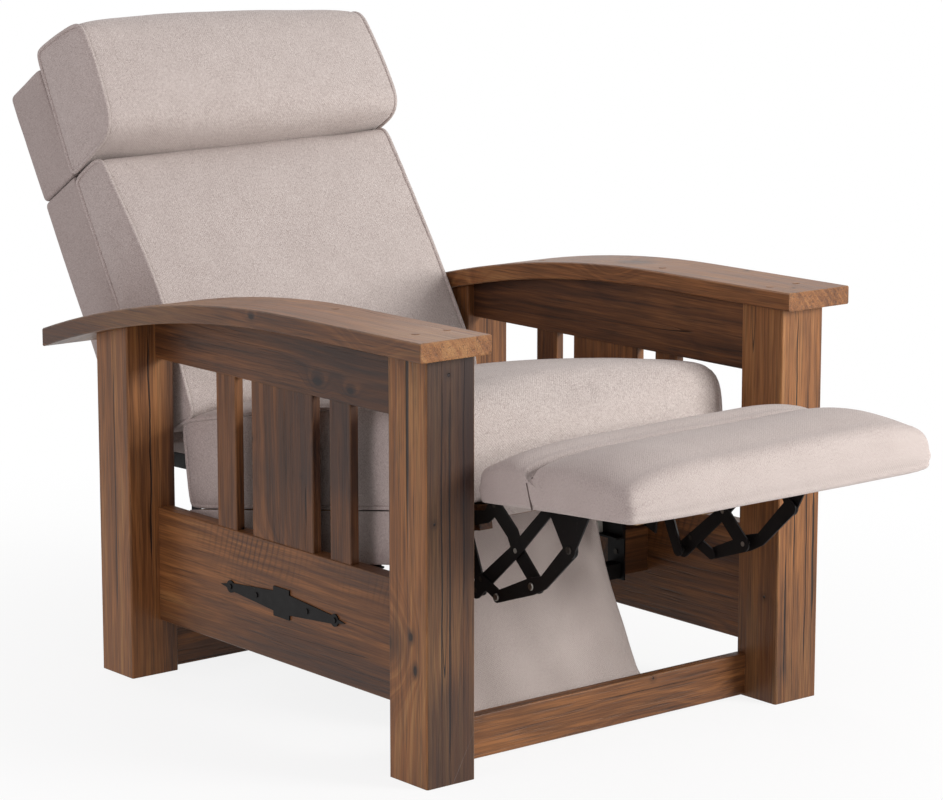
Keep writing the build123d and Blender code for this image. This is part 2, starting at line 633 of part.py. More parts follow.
def back_webbing():
    face = -STILE_FROM_REAR - STILE_DEPTH
    pitch = BACK_LENGTH / (BACK_WEB_COUNT + 1)
    straps = [block(-STILE_OUTER, STILE_OUTER, face - WEB_THICK, face, -i * pitch - WEB_WIDTH / 2,
                    -i * pitch + WEB_WIDTH / 2) for i in range(1, BACK_WEB_COUNT + 1)]
    return on_back(group(straps))


def box_cushion_outline(rear, depth, taper, top, bottom, crown_height, top_crown, sag):
    """Section function of a boxed cushion on the back, swelling forwards."""
    def outline(crown, draw):
        inset = draw * SIDE_DRAW
        y_rear, y_front = -rear, -(rear + depth - inset)
        y_brow = y_front + taper
        low, high = -(bottom - inset), -(top + inset)
        swell = (y_front - crown * crown_height, low + (high - low) * sag)
        above = ((y_rear + y_brow) / 2, high + crown * top_crown)
        below = ((y_rear + y_front) / 2, low - crown * SIDE_DRAW / 2)
        return [
            Line((y_rear, low), (y_rear, high)),
            ThreePointArc((y_rear, high), above, (y_brow, high)),
            ThreePointArc((y_brow, high), swell, (y_front, low)),
            ThreePointArc((y_front, low), below, (y_rear, low)),
        ]
    return outline


def back_cushion():
    outline = box_cushion_outline(SHELL_DEPTH + FIT, BACK_CUSHION_DEPTH, BACK_TAPER, BACK_CUSHION_TOP,
                                  BACK_CUSHION_BOTTOM, BACK_CUSHION_CROWN, SIDE_DRAW, CUSHION_MIDDLE_SHARE)
    return on_back(cushion(BACK_WIDTH, outline))


def head_cushion():
    outline = box_cushion_outline(SHELL_DEPTH + FIT, HEAD_CUSHION_DEPTH, HEAD_TAPER, -HEAD_CUSHION_RISE,
                                  HEAD_CUSHION_BOTTOM, HEAD_CUSHION_CROWN, HEAD_TOP_CROWN, HEAD_SAG_SHARE)
    return on_back(cushion(BACK_WIDTH + 2 * HEAD_CUSHION_OVERHANG, outline))


# Flat links: each stretch tapers between two round ends
def tapered(places, x0, holes, pin=PIN):
    """A plate through (y, z, radius) places, with pin holes."""
    outline = Sketch()
    for first, second in zip(places[:-1], places[1:]):
        ends = [Pos(y, z) * Circle(radius) for y, z, radius in (first, second)]
        outline += make_hull(ends[0].edges() + ends[1].edges())
    for place in holes:
        outline -= Pos(*place) * pin_hole(pin, PIN_FIT)
    return extrude(Plane.YZ.offset(x0) * outline, amount=PLATE, dir=(1, 0, 0))


def layer(index):
    """Inner face of a link plane on the right side."""
    return FIRST_LAYER + index * LAYER


REAR_SWING, SEAT_PLATE, FRONT_SWING, UPPER, SHORT, LOWER, BRACKET = range(7)


def link(places, plane, holes):
    """A link of the footrest linkage, its places ahead of the origin with their radii."""
    placed = [(*ahead(place), radius) for place, radius in places]
    return tapered(placed, layer(plane), [ahead(place) for place in holes])


def front_swing_link():
    return link([(PLATE_FRONT, EYE), (SWING_KNEE, EYE), (CROSS_JOINT, EYE), (LOWER_JOINT, EYE)], FRONT_SWING,
                [PLATE_FRONT, CROSS_JOINT, LOWER_JOINT])


def rear_swing_link():
    return link([(PLATE_REAR, EYE), (TAIL_JOINT, WAIST)], REAR_SWING, [PLATE_REAR])


def upper_link():
    return link([(TAIL_JOINT, EYE), (CROSS_JOINT, WAIST), (BRACKET_UPPER, SMALL_EYE)], UPPER,
                [TAIL_JOINT, SHORT_UPPER, CROSS_JOINT, BRACKET_UPPER])


def lower_link():
    return link([(SHORT_LOWER, SMALL_EYE), (LOWER_JOINT, EYE), (LOWER_KNEE, WAIST), (BRACKET_LOWER, EYE)], LOWER,
                [SHORT_LOWER, LOWER_JOINT])


def short_link():
    return link([(SHORT_UPPER, SMALL_EYE), (SHORT_LOWER, SMALL_EYE)], SHORT, [SHORT_UPPER])


def rivet(point, first, last, inner_head=0.0, outer_head=0.0, inner_gap=0.0):
    """A rivet through link planes `first` to `last`, flush where it has no head."""
    x0 = layer(first) + inner_gap
    x1 = layer(last) + PLATE
    body = side_disc(ahead(point), PIN, x0, x1)
    if inner_head:
        body += side_disc(ahead(point), RIVET_HEAD_RADIUS, x0 - inner_head, x0)
    if outer_head:
        body += rivet_head(point, x1, outer_head)
    return body


def rivet_head(point, x0, height):
    """A low head with a bevelled rim, outside the face at x0."""
    head = side_disc(ahead(point), RIVET_HEAD_RADIUS, x0, x0 + height)
    return chamfer(head.edges().group_by(Axis.X)[-1], height / 2)


def boss(point, plane):
    """A rivet fixed in one link, its foot just short of the link inside it."""
    foot = side_disc(ahead(point), RIVET_HEAD_RADIUS, layer(plane) - (LAYER - PLATE) + FIT, layer(plane))
    shank = side_disc(ahead(point), PIN, layer(plane), layer(plane) + PLATE)
    return foot + shank + rivet_head(point, layer(plane) + PLATE, RIVET_HEAD)


def seat_plate_rivets():
    return pair(group([rivet(PLATE_FRONT, SEAT_PLATE, FRONT_SWING, inner_head=RIVET_HEAD),
                       rivet(PLATE_REAR, REAR_SWING, SEAT_PLATE, inner_head=RIVET_HEAD)]))


def front_swing_rivets():
    return pair(group([rivet(CROSS_JOINT, FRONT_SWING, UPPER),
                       rivet(LOWER_JOINT, FRONT_SWING, LOWER, outer_head=RIVET_HEAD)]))


def upper_link_rivets():
    tail = rivet(TAIL_JOINT, SEAT_PLATE, UPPER, inner_gap=FIT - (LAYER - PLATE))
    return pair(group([tail, rivet(SHORT_UPPER, UPPER, SHORT),
                       rivet(BRACKET_UPPER, UPPER, BRACKET, outer_head=RIVET_HEAD)]))


def lower_link_rivets():
    return pair(boss(SHORT_LOWER, LOWER))


# Seat plate: web and flange under the cushion, a wing with the pivots, two glide lugs
def under_cushion(distance, drop):
    """Side-view place below the cushion's underside at a distance ahead of the origin."""
    return (-distance, seat_line(distance) - drop)


def seat_plate():
    x0 = layer(SEAT_PLATE)
    rear_end = LUG_AHEAD[1] - BLOCK_LENGTH
    low = DECK_GAP + PLATE_WEB
    middle = DECK_GAP + PLATE_WEB / 2
    web = [under_cushion(FLANGE_FRONT, DECK_GAP), under_cushion(rear_end, DECK_GAP),
           under_cushion(rear_end, low), under_cushion(FLANGE_FRONT, low)]
    outline = Sketch() + make_face(Polyline(*web, close=True))
    arm_places = [(*under_cushion(FLANGE_FRONT, middle), STRIP_HALF - FIT), (*ahead(PLATE_REAR), EYE),
                  (*under_cushion(SEAT_FRONT_NECK, NECK_DROP), STRIP_HALF), (*ahead(PLATE_FRONT), EYE)]
    wing = [under_cushion(FLANGE_FRONT - WING_REACH, middle), ahead(WING_LOW_REAR), ahead(WING_LOW_FRONT),
            ahead(PLATE_REAR)]
    outline += make_face(Polyline(*wing, close=True))
    foot = CHANNEL_BOTTOM + PLATE
    axle = CHANNEL_BOTTOM + CHANNEL_HEIGHT / 2
    for distance in LUG_AHEAD:
        top = seat_line(distance) - middle
        outline += Pos(-distance, (top + foot) / 2) * Rectangle(LUG_WIDTH, top - foot)
    plate = extrude(Plane.YZ.offset(x0) * outline, amount=PLATE, dir=(1, 0, 0))
    plate += tapered(arm_places, x0, [])
    for place in (PLATE_REAR, PLATE_FRONT):
        plate -= side_bore(ahead(place), PIN, PIN_FIT, x0 - OVERRUN, x0 + PLATE + OVERRUN)
    for distance in LUG_AHEAD:
        plate -= side_bore((-distance, axle), GLIDE_BOLT, PIN_FIT, x0 - OVERRUN, x0 + PLATE + OVERRUN)
    front = -(SEAT_REAR + FLANGE_FRONT) / cos(radians(SEAT_TILT))
    rear = -(SEAT_REAR + FLANGE_REAR) / cos(radians(SEAT_TILT))
    flange = block(x0, SEAT_RAIL_INNER + RAIL_WOOD, front, rear, -DECK_GAP, -DECK_GAP + PLATE)
    return plate + on_seat(flange)


def glide_blocks():
    """Nylon blocks that run in the channels, each with a collar and its bolt."""
    height = CHANNEL_HEIGHT - 2 * PLATE - 2 * BLOCK_FIT
    centre = CHANNEL_BOTTOM + CHANNEL_HEIGHT / 2
    outer = CHANNEL_OUTER - PLATE - BLOCK_FIT
    inner = outer - BLOCK_WIDTH
    plate = layer(SEAT_PLATE)
    pieces = []
    for distance in LUG_AHEAD:
        y = -distance
        runner = block(inner, outer, y - BLOCK_LENGTH / 2, y + BLOCK_LENGTH / 2,
                       centre - height / 2, centre + height / 2)
        bolt = side_disc((y, centre), GLIDE_BOLT, plate, outer - BLOCK_WIDTH / 3)
        bolt += side_disc((y, centre), RIVET_HEAD_RADIUS, plate - RIVET_HEAD, plate)
        collar = side_disc((y, centre), RIVET_HEAD_RADIUS, plate + PLATE, inner)
        pieces += [runner + collar - bolt, bolt]
    return pair(group(pieces))


# Fixed steel base under the seat
def hangers():
    """Front edge and foot of the two hanger plates of a channel."""
    return ((-CHANNEL_FRONT, FRONT_HANGER_BOTTOM), (REAR_HANGER_AT, REAR_HANGER_BOTTOM))


def hanger_bolt(y0, foot):
    return (y0 + HANGER_WIDTH / 2, foot + CLEAT_RISE + CLEAT_HEIGHT / 2)


def glide_channel():
    """Channel open to the middle of the chair, with its two hanger plates."""
    top = CHANNEL_BOTTOM + CHANNEL_HEIGHT
    inner = CHANNEL_OUTER - CHANNEL_WIDTH
    rear = -LUG_AHEAD[1] + BLOCK_LENGTH / 2 + GLIDE_TRAVEL + CHANNEL_SPARE
    body = block(inner, CHANNEL_OUTER, -CHANNEL_FRONT, rear, CHANNEL_BOTTOM, top)
    body -= block(inner - OVERRUN, CHANNEL_OUTER - PLATE, -CHANNEL_FRONT - OVERRUN, rear + OVERRUN,
                  CHANNEL_BOTTOM + PLATE, top - PLATE)
    for y0, foot in hangers():
        hanger = block(CHANNEL_OUTER, CHANNEL_OUTER + PLATE, y0, y0 + HANGER_WIDTH, foot, top)
        body += hanger - side_disc(hanger_bolt(y0, foot), SCREW_RADIUS, CHANNEL_OUTER - OVERRUN,
                                   CHANNEL_OUTER + PLATE + OVERRUN)
    return body


def glide_cleats():
    """Wooden blocks between the hangers and the lower rails."""
    pieces = []
    for y0, foot in hangers():
        start = y0 + CLEAT_INSET if y0 < 0 else y0 - CLEAT_INSET
        cleat = block(CHANNEL_OUTER + PLATE, RAIL_INNER, start, start + CLEAT_LENGTH, foot + CLEAT_RISE,
                      foot + CLEAT_RISE + CLEAT_HEIGHT)
        pieces.append(cleat - side_disc(hanger_bolt(y0, foot), SCREW_RADIUS, CHANNEL_OUTER,
                                        CHANNEL_OUTER + PLATE + SCREW_LENGTH))
    return pair(group(pieces))


def base_bolts():
    """Screws through the hangers into the cleats, heads towards the middle."""
    pieces = []
    for y0, foot in hangers():
        point = hanger_bolt(y0, foot)
        shank = side_disc(point, SCREW_RADIUS, CHANNEL_OUTER, CHANNEL_OUTER + PLATE + SCREW_LENGTH)
        head = side_disc(point, SCREW_HEAD_RADIUS, CHANNEL_OUTER - SCREW_HEAD_HEIGHT, CHANNEL_OUTER)
        pieces.append(shank + head)
    return pair(group(pieces))


def base_tubes():
    """Square tubes that tie the two channels together."""
    tubes = []
    for y0, foot in hangers():
        y = y0 + (HANGER_WIDTH - TUBE) / 2
        z = foot + TUBE_DROP
        outer = block(-CHANNEL_OUTER, CHANNEL_OUTER, y, y + TUBE, z, z + TUBE)
        bore = block(-CHANNEL_OUTER - OVERRUN, CHANNEL_OUTER + OVERRUN, y + TUBE_WALL, y + TUBE - TUBE_WALL,
                     z + TUBE_WALL, z + TUBE - TUBE_WALL)
        tubes.append(outer - bore)
    return group(tubes)


# Recline pivot
def band(points):
    """A bracket band of one width, its last place an eye."""
    return [(y, z, BRACKET_BAND) for y, z in points[:-1]] + [(*points[-1], EYE)]


def back_brackets():
    """Plates on the back's stiles, with the pivot pins."""
    depth = STILE_FROM_REAR + STILE_DEPTH / 2
    pivot = (RECLINE_Y, RECLINE_Z)
    places = [on_back_point(depth, BACK_LENGTH - STILE_BRACKET_REACH), on_back_point(depth, BACK_LENGTH), pivot]
    body = tapered(band(places), STILE_OUTER, [])
    body += side_disc(pivot, PIVOT_RADIUS, STILE_OUTER + PLATE, SEAT_RAIL_INNER + RIVET_HEAD)
    body += side_disc(pivot, RIVET_HEAD_RADIUS + SCREW_RADIUS, STILE_OUTER - RIVET_HEAD, STILE_OUTER)
    return pair(body)


def seat_back_brackets():
    """Plates on the seat's side rails that carry the back's pivot pins."""
    middle = -DECK_GAP - SEAT_RAIL_HEIGHT / 2
    pivot = (RECLINE_Y, RECLINE_Z)
    start = seat_place(-RAIL_BRACKET_REACH, middle)
    corner = (RECLINE_Y, seat_place(0, middle)[1])
    return pair(tapered(band([start, corner, pivot]), SEAT_RAIL_INNER - PLATE, [pivot], PIVOT_RADIUS))


def seat_place(y, z):
    """Side-view place of a point given in the seat's own frame."""
    tilt = radians(SEAT_TILT)
    return (SEAT_REAR + y * cos(tilt) + z * sin(tilt), SEAT_REAR_HEIGHT - y * sin(tilt) + z * cos(tilt))


# Footrest: the local origin is its lower inner edge, -Y towards its free end
def on_footrest(solid):
    return Pos(0, FOOTREST_Y, FOOTREST_Z) * Rot(-FOOTREST_TILT, 0, 0) * solid


def footrest_board():
    half = FOOTREST_WIDTH / 2 - BOARD_INSET
    return on_footrest(block(-half, half, -FOOTREST_LENGTH + BOARD_INSET, -BOARD_INSET, 0, BOARD_THICK))


def footrest_outline(crown, draw):
    """Section of the footrest pad: a narrow inner roll, a groove and a wide outer roll."""
    inset = draw * SIDE_DRAW
    drop = (1 - crown) * FOOTREST_END_DROP
    swell = crown * FOOTREST_CROWN
    near, far = -FOOTREST_END_ROUND, -FOOTREST_LENGTH + FOOTREST_END_ROUND
    inner_top = FOOTREST_INNER_HEIGHT - inset - drop
    outer_top = FOOTREST_OUTER_HEIGHT - inset - drop
    groove = (-FOOTREST_GROOVE_AT, FOOTREST_GROOVE_HEIGHT - inset - drop / 2)
    near_top = (near, inner_top - FOOTREST_END_ROUND)
    far_top = (far, outer_top - 2 * FOOTREST_END_ROUND)
    inner_crown = (-(FOOTREST_GROOVE_AT + FOOTREST_END_ROUND) / 2, inner_top + swell)
    outer_crown = (-(FOOTREST_GROOVE_AT - far) / 2, outer_top + swell)
    return [
        Line((near, 0), (far, 0)),
        ThreePointArc((far, 0), (-FOOTREST_LENGTH + inset, outer_top / 3), far_top),
        ThreePointArc(far_top, outer_crown, groove),
        ThreePointArc(groove, inner_crown, near_top),
        ThreePointArc(near_top, (-inset, inner_top / 3), (near, 0)),
    ]


def footrest_pad():
    body = cushion(FOOTREST_WIDTH, footrest_outline)
    half = FOOTREST_WIDTH / 2 - BOARD_INSET + FIT
    recess = block(-half, half, -FOOTREST_LENGTH + BOARD_INSET - FIT, -BOARD_INSET + FIT, -OVERRUN,
                   BOARD_THICK + FIT)
    return on_footrest(body - recess)


def footrest_line(distance):
    """Height of the footrest's underside at a distance ahead of the origin."""
    return FOOTREST_Z + tan(radians(FOOTREST_TILT)) * (distance + FOOTREST_Y)


def footrest_bracket():
    """Triangular plate with its pivots and a flange under the board."""
    x0 = layer(BRACKET)
    rear_top = (-BRACKET_TOP_REAR, footrest_line(BRACKET_TOP_REAR))
    front_top = (-BRACKET_TOP_FRONT, footrest_line(BRACKET_TOP_FRONT))
    upper, lower = ahead(BRACKET_UPPER), ahead(BRACKET_LOWER)
    front_low = (lower[0] - EYE, lower[1])
    rear_low = (lower[0] + EYE, lower[1])
    corner = (upper[0] - EYE / 2, upper[1] - EYE)
    outline = make_face(Polyline(rear_top, front_top, front_low, rear_low, corner,
                                 (rear_top[0], upper[1] - EYE), close=True))
    outline = Sketch() + outline + Pos(*lower) * Circle(EYE)
    outline -= Pos(*upper) * pin_hole(PIN, PIN_FIT)
    outline -= Pos(*lower) * small_round(PIN)
    plate = extrude(Plane.YZ.offset(x0) * outline, amount=PLATE, dir=(1, 0, 0))
    plate -= on_footrest(block(x0 - OVERRUN, x0 + PLATE + OVERRUN, -FOOTREST_LENGTH, OVERRUN, -PLATE, OVERRUN))
    tilt = cos(radians(FOOTREST_TILT))
    y0 = -(BRACKET_TOP_FRONT + FOOTREST_Y) / tilt
    y1 = -(BRACKET_TOP_REAR + FOOTREST_Y) / tilt
    flange = on_footrest(block(x0, x0 + FLANGE_WIDTH, y0, y1, -PLATE, 0))
    for place in flange_screw_places():
        flange -= on_footrest(Pos(*place) * upright_disc(SCREW_RADIUS, -PLATE - OVERRUN, OVERRUN))
    return plate + flange


def flange_screw_places():
    """Screws up into the board, in the footrest's frame."""
    x = layer(BRACKET) + (PLATE + FLANGE_WIDTH) / 2
    y0 = -(BRACKET_TOP_FRONT + FOOTREST_Y)
    y1 = -(BRACKET_TOP_REAR + FOOTREST_Y)
    inset = EYE
    return [(x, y0 + inset), (x, y1 - inset)]


def footrest_fasteners():
    """Bracket screws and the lower bracket rivets."""
    pieces = [boss(BRACKET_LOWER, BRACKET)]
    for place in flange_screw_places():
        shank = upright_disc(SCREW_RADIUS, -PLATE, 0)
        head = upright_disc(SCREW_HEAD_RADIUS, -PLATE - SCREW_HEAD_HEIGHT, -PLATE)
        pieces.append(on_footrest(Pos(*place) * (shank + head)))
    return pair(group(pieces))


# Fabric skirt: a sheet that hangs from its cleat and sweeps forward to the stretcher
def skirt_face(sway, gap):
    """Side-view edges of one face of the sheet, `gap` in front of its rear face."""
    top_y, top_z = seat_place(-SKIRT_CLEAT_AT - RAIL_WOOD, -DECK_GAP - INNER_RAIL_HEIGHT)
    low_y = seat_place(-SKIRT_CLEAT_AT - RAIL_WOOD, -DECK_GAP - INNER_RAIL_HEIGHT - SKIRT_CLEAT_HEIGHT)[0]
    top_y = min(top_y, low_y) - FIT
    foot_y = STRETCHER_Y + STRETCHER_THICK + FIT
    reach = top_y - foot_y
    fall = top_z - SKIRT_FLOOR
    places = []
    for along, down, forward in SKIRT_SHARES:
        moved = sway * min(1, along / LOOSE_SHARE) if along < 1 else 0
        y = top_y - along * reach - forward * (gap + moved)
        z = top_z - down * fall + sqrt(1 - forward ** 2) * (gap + abs(moved))
        places.append((y, z))
    top, waist, hip, knee, shin, heel, foot = places
    return [Line(top, waist), ThreePointArc(waist, hip, knee), ThreePointArc(knee, shin, heel), Line(heel, foot)]


def skirt():
    sections = []
    count = len(SKIRT_FOLD_SHARES) - 1
    for i, fold in enumerate(SKIRT_FOLD_SHARES):
        rear = skirt_face(fold * SKIRT_SWAY, 0)
        front = skirt_face(fold * SKIRT_SWAY, SKIRT_THICK)
        ends = [Line(rear[0] @ 0, front[0] @ 0), Line(rear[-1] @ 1, front[-1] @ 1)]
        x = -SKIRT_WIDTH / 2 + i * SKIRT_WIDTH / count
        sections.append(Plane.YZ.offset(x) * make_face(rear + front + ends))
    return loft(sections, ruled=True)


def build():
    """Every sub-part by the name of its file."""
    parts = {}

    def both_sides(name, solid):
        parts[name + "_right"] = solid
        parts[name + "_left"] = mirrored(solid)

    both_sides("front_post", front_post())
    both_sides("rear_post", rear_post())
    both_sides("arm", arm())
    both_sides("upper_rail", upper_rail())
    both_sides("lower_rail", lower_rail())
    both_sides("slats", slats())
    parts["arm_plugs"] = plugs()
    parts["front_stretcher"] = stretcher(STRETCHER_Y, STRETCHER_HEIGHT)
    parts["rear_stretcher"] = stretcher(SPAN + REAR_STRETCHER_INSET, REAR_STRETCHER_HEIGHT)
    parts["strap_plates"] = pair(strap_plate())
    parts["strap_screws"] = strap_screws()
    both_sides("glide_channel", glide_channel())
    parts["glide_cleats"] = glide_cleats()
    parts["base_tubes"] = base_tubes()
    parts["base_screws"] = base_bolts()
    parts["skirt"] = skirt()
    both_sides("seat_side_rail", seat_side_rail())
    parts["seat_inner_rails"] = seat_inner_rails()
    parts["seat_front_rail"] = seat_front_rail()
    parts["seat_rear_rail"] = seat_rear_rail()
    parts["skirt_cleat"] = skirt_cleat()
    parts["seat_webbing"] = seat_webbing()
    parts["seat_panels"] = seat_panels()
    parts["seat_cushion"] = seat_cushion()
    both_sides("seat_plate", seat_plate())
    parts["seat_plate_rivets"] = seat_plate_rivets()
    parts["glide_blocks"] = glide_blocks()
    parts["seat_back_brackets"] = seat_back_brackets()
    parts["back_frame"] = back_frame()
    parts["back_webbing"] = back_webbing()
    parts["back_shell"] = back_shell()
    parts["head_shell"] = head_shell()
    parts["back_cushion"] = back_cushion()
    parts["head_cushion"] = head_cushion()
    parts["back_brackets"] = back_brackets()
    parts["footrest_board"] = footrest_board()
    parts["footrest_pad"] = footrest_pad()
    both_sides("footrest_bracket", footrest_bracket())
    parts["footrest_fasteners"] = footrest_fasteners()
    both_sides("front_swing_link", front_swing_link())
    both_sides("upper_link", upper_link())
    both_sides("lower_link", lower_link())
    parts["rear_swing_links"] = pair(rear_swing_link())
    parts["short_links"] = pair(short_link())
    parts["front_swing_rivets"] = front_swing_rivets()
    parts["upper_link_rivets"] = upper_link_rivets()
    parts["lower_link_rivets"] = lower_link_rivets()
    return parts


if __name__ == "__main__":
    os.makedirs("parts", exist_ok=True)
    for name, solid in build().items():
        export_step(solid, f"parts/{name}.step")
        print(name, round(solid.volume))
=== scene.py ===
import math

import bmesh
import bpy
from mathutils import Matrix, Vector, bvhtree, kdtree, noise


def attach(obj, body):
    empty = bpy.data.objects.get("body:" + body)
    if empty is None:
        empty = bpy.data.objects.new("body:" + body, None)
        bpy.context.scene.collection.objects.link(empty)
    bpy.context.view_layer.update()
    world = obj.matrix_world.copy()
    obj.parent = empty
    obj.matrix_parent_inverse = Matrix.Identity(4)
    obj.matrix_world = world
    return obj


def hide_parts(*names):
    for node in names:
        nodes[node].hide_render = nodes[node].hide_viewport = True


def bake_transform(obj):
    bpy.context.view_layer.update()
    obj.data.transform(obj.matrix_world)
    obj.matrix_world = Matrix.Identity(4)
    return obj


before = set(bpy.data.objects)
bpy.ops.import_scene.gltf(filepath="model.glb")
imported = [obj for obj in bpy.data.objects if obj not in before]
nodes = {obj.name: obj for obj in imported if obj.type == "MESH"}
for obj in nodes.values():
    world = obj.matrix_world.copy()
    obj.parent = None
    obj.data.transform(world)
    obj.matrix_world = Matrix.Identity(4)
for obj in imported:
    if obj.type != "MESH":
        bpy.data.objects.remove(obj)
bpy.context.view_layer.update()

# Places and leans of the upholstered parts, as the CAD model has them, in metres and degrees
SEAT_PLACE = (0.0, 0.335, 0.272)
SEAT_TILT = 9.6
BACK_PLACE = (0.0, 0.864, 0.912)
BACK_TILT = 31.2
FOOT_PLACE = (0.0, -0.430, 0.4185)
FOOT_TILT = 3.4
PIPE = 0.0036                # radius of the welt cord
STEP = 0.011                 # spacing of mesh points along a cushion's outline
VOXEL = 0.006                # mesh size of a cushion while its cloth is simulated
CLOTH_FRAMES = 20
PRESSURE = 4.0

# The photograph's view, in pixels, degrees and metres, and the camera's sensor in millimetres
PHOTO_WIDTH = 943
AZIMUTH, ELEVATION = -39.24, 10.73
DISTANCE = 5.187
TARGET = Vector((0.0123, -0.0312, 0.4727))
FOCAL_PIXELS = 3224.7
SENSOR = 36.0


def tilted(place, degrees):
    """The frame of a part that leans back about X."""
    return Matrix.Translation(place) @ Matrix.Rotation(math.radians(-degrees), 4, "X")


SEAT = tilted(SEAT_PLACE, SEAT_TILT)
BACK = tilted(BACK_PLACE, BACK_TILT)
FOOT = tilted(FOOT_PLACE, FOOT_TILT)


# Shader graphs
def linear(red, green, blue):
    """An 8-bit display colour as the shader's linear one."""
    def channel(value):
        value = value / 255
        return value / 12.92 if value <= 0.04045 else ((value + 0.055) / 1.055) ** 2.4
    return (channel(red), channel(green), channel(blue), 1.0)


class Graph:
    """A material's nodes, wired by short calls."""

    def __init__(self, name):
        self.material = bpy.data.materials.new(name)
        self.material.use_nodes = True
        self.tree = self.material.node_tree
        self.tree.nodes.clear()
        self.shader = self.tree.nodes.new("ShaderNodeBsdfPrincipled")
        self.surface = self.tree.nodes.new("ShaderNodeOutputMaterial").inputs["Surface"]
        self.put(self.surface, self.shader.outputs[0])

    def put(self, socket, value):
        if isinstance(value, bpy.types.NodeSocket):
            self.tree.links.new(value, socket)
        else:
            socket.default_value = value

    def add(self, kind, inputs, output=0, **settings):
        node = self.tree.nodes.new(kind)
        for key, value in settings.items():
            setattr(node, key, value)
        for key, value in inputs.items():
            self.put(node.inputs[key], value)
        return node.outputs[output]

    def place(self, scale=(1, 1, 1), turn=(0, 0, 0), move=(0, 0, 0)):
        """The piece's own coordinates, scaled, turned and moved."""
        coordinates = self.add("ShaderNodeTexCoord", {}, "Object")
        turned = self.add("ShaderNodeMapping", {"Vector": coordinates, "Rotation": turn})
        return self.add("ShaderNodeMapping", {"Vector": turned, "Scale": scale, "Location": move})

    def split(self, vector):
        """The three coordinates of a vector."""
        node = self.tree.nodes.new("ShaderNodeSeparateXYZ")
        self.put(node.inputs[0], vector)
        return node.outputs

    def join(self, *coordinates):
        node = self.tree.nodes.new("ShaderNodeCombineXYZ")
        for socket, value in zip(node.inputs, coordinates):
            self.put(socket, value)
        return node.outputs[0]

    def cells(self, vector):
        """Distance to the nearest of scattered points."""
        return self.add("ShaderNodeTexVoronoi", {"Vector": vector, "Scale": 1.0}, "Distance")

    def total(self, *terms):
        """Sum of values, or of (value, factor) pairs."""
        result = None
        for term in terms:
            value = self.calc("MULTIPLY", *term) if isinstance(term, tuple) else term
            result = value if result is None else self.calc("ADD", result, value)
        return result

    def product(self, *factors):
        result = factors[0]
        for factor in factors[1:]:
            result = self.calc("MULTIPLY", result, factor)
        return result

    def noise(self, vector, scale=1.0, detail=2.0, rough=0.5, distortion=0.0):
        return self.add("ShaderNodeTexNoise", {"Vector": vector, "Scale": scale, "Detail": detail,
                                               "Roughness": rough, "Distortion": distortion}, "Fac")

    def calc(self, operation, first, second=0.0):
        return self.add("ShaderNodeMath", {0: first, 1: second}, operation=operation)

    def step(self, value, low, high, out_low=0.0, out_high=1.0):
        """Smooth change of a value from one range into another."""
        return self.add("ShaderNodeMapRange", {"Value": value, "From Min": low, "From Max": high,
                                               "To Min": out_low, "To Max": out_high},
                        interpolation_type="SMOOTHSTEP")

    def mix(self, share, first, second):
        """From the first colour to the second by a share."""
        node = self.tree.nodes.new("ShaderNodeMix")
        node.data_type = "RGBA"
        self.put(node.inputs[0], share)
        self.put(node.inputs[6], first)
        self.put(node.inputs[7], second)
        return node.outputs[2]

    def ramp(self, value, *stops):
        node = self.tree.nodes.new("ShaderNodeValToRGB")
        self.put(node.inputs[0], value)
        elements = node.color_ramp.elements
        while len(elements) < len(stops):
            elements.new(0.5)
        for element, (position, colour) in zip(elements, stops):
            element.position = position
            element.color = colour
        return node.outputs[0]

    def bump(self, height, distance, strength=1.0, under=None):
        inputs = {"Height": height, "Distance": distance, "Strength": strength}
        if under is not None:
            inputs["Normal"] = under
        return self.add("ShaderNodeBump", inputs)

    def finish(self, **sockets):
        for key, value in sockets.items():
            self.put(self.shader.inputs[key.replace("_", " ")], value)
        return self.material


CHAR = linear(15, 10, 9)
DARK_OAK = linear(44, 27, 18)
MID_OAK = linear(102, 64, 37)
WARM_OAK = linear(146, 96, 55)
PALE_OAK = linear(180, 134, 84)
KNOT_STAIN = linear(27, 19, 20)
WEATHERED = linear(30, 21, 21)
# dark colour of the listed darker stretches: scorch, and painted shade on the arm's outer edge
SCORCH_AND_SHADE = linear(38, 29, 30)
SCRAPED = linear(168, 160, 162)
SAW_PITCH = 0.0145
OAK_GLOSS = 0.28
OAK_COAT, ARM_COAT, DARK_UNDERFRAME_COAT = 0.03, 0.06, 0.04


def crack(g, position, across, at, along, low, high, width, lean=0.0):
    """A mask for one drying crack: its place across the grain and its reach along it."""
    fade, sway = 0.05, 0.006
    wobble = g.calc("MULTIPLY", g.noise(g.place((11, 11, 11)), 1.0, 3.0), sway)
    line = g.calc("ADD", position[across], wobble)
    line = g.calc("SUBTRACT", line, g.calc("MULTIPLY", position[along], lean))
    off = g.calc("ABSOLUTE", g.calc("SUBTRACT", line, at + sway / 2))
    reach = g.product(g.step(position[along], low, low + fade),
                      g.step(position[along], high, high - fade), width)
    return g.step(g.calc("SUBTRACT", off, reach), 0.0004, -0.0002)


def named_knots(g, position, axis, knots, sweep):
    """Distances from each knot of a list, and the growth lines' sweep, bent round them."""
    distances = []
    for across, at, along, size in knots:
        lengthwise = g.calc("MULTIPLY", g.calc("SUBTRACT", position[axis], along), 0.6)
        crosswise = g.calc("SUBTRACT", position[across], at)
        squares = g.total((lengthwise, lengthwise), (crosswise, crosswise))
        distances.append((size, g.calc("SQRT", squares)))
        bend = g.calc("EXPONENT", g.calc("MULTIPLY", squares, -0.3 / size ** 2))
        sweep = g.total(sweep, (bend, 2.6 * size))
    return distances, sweep


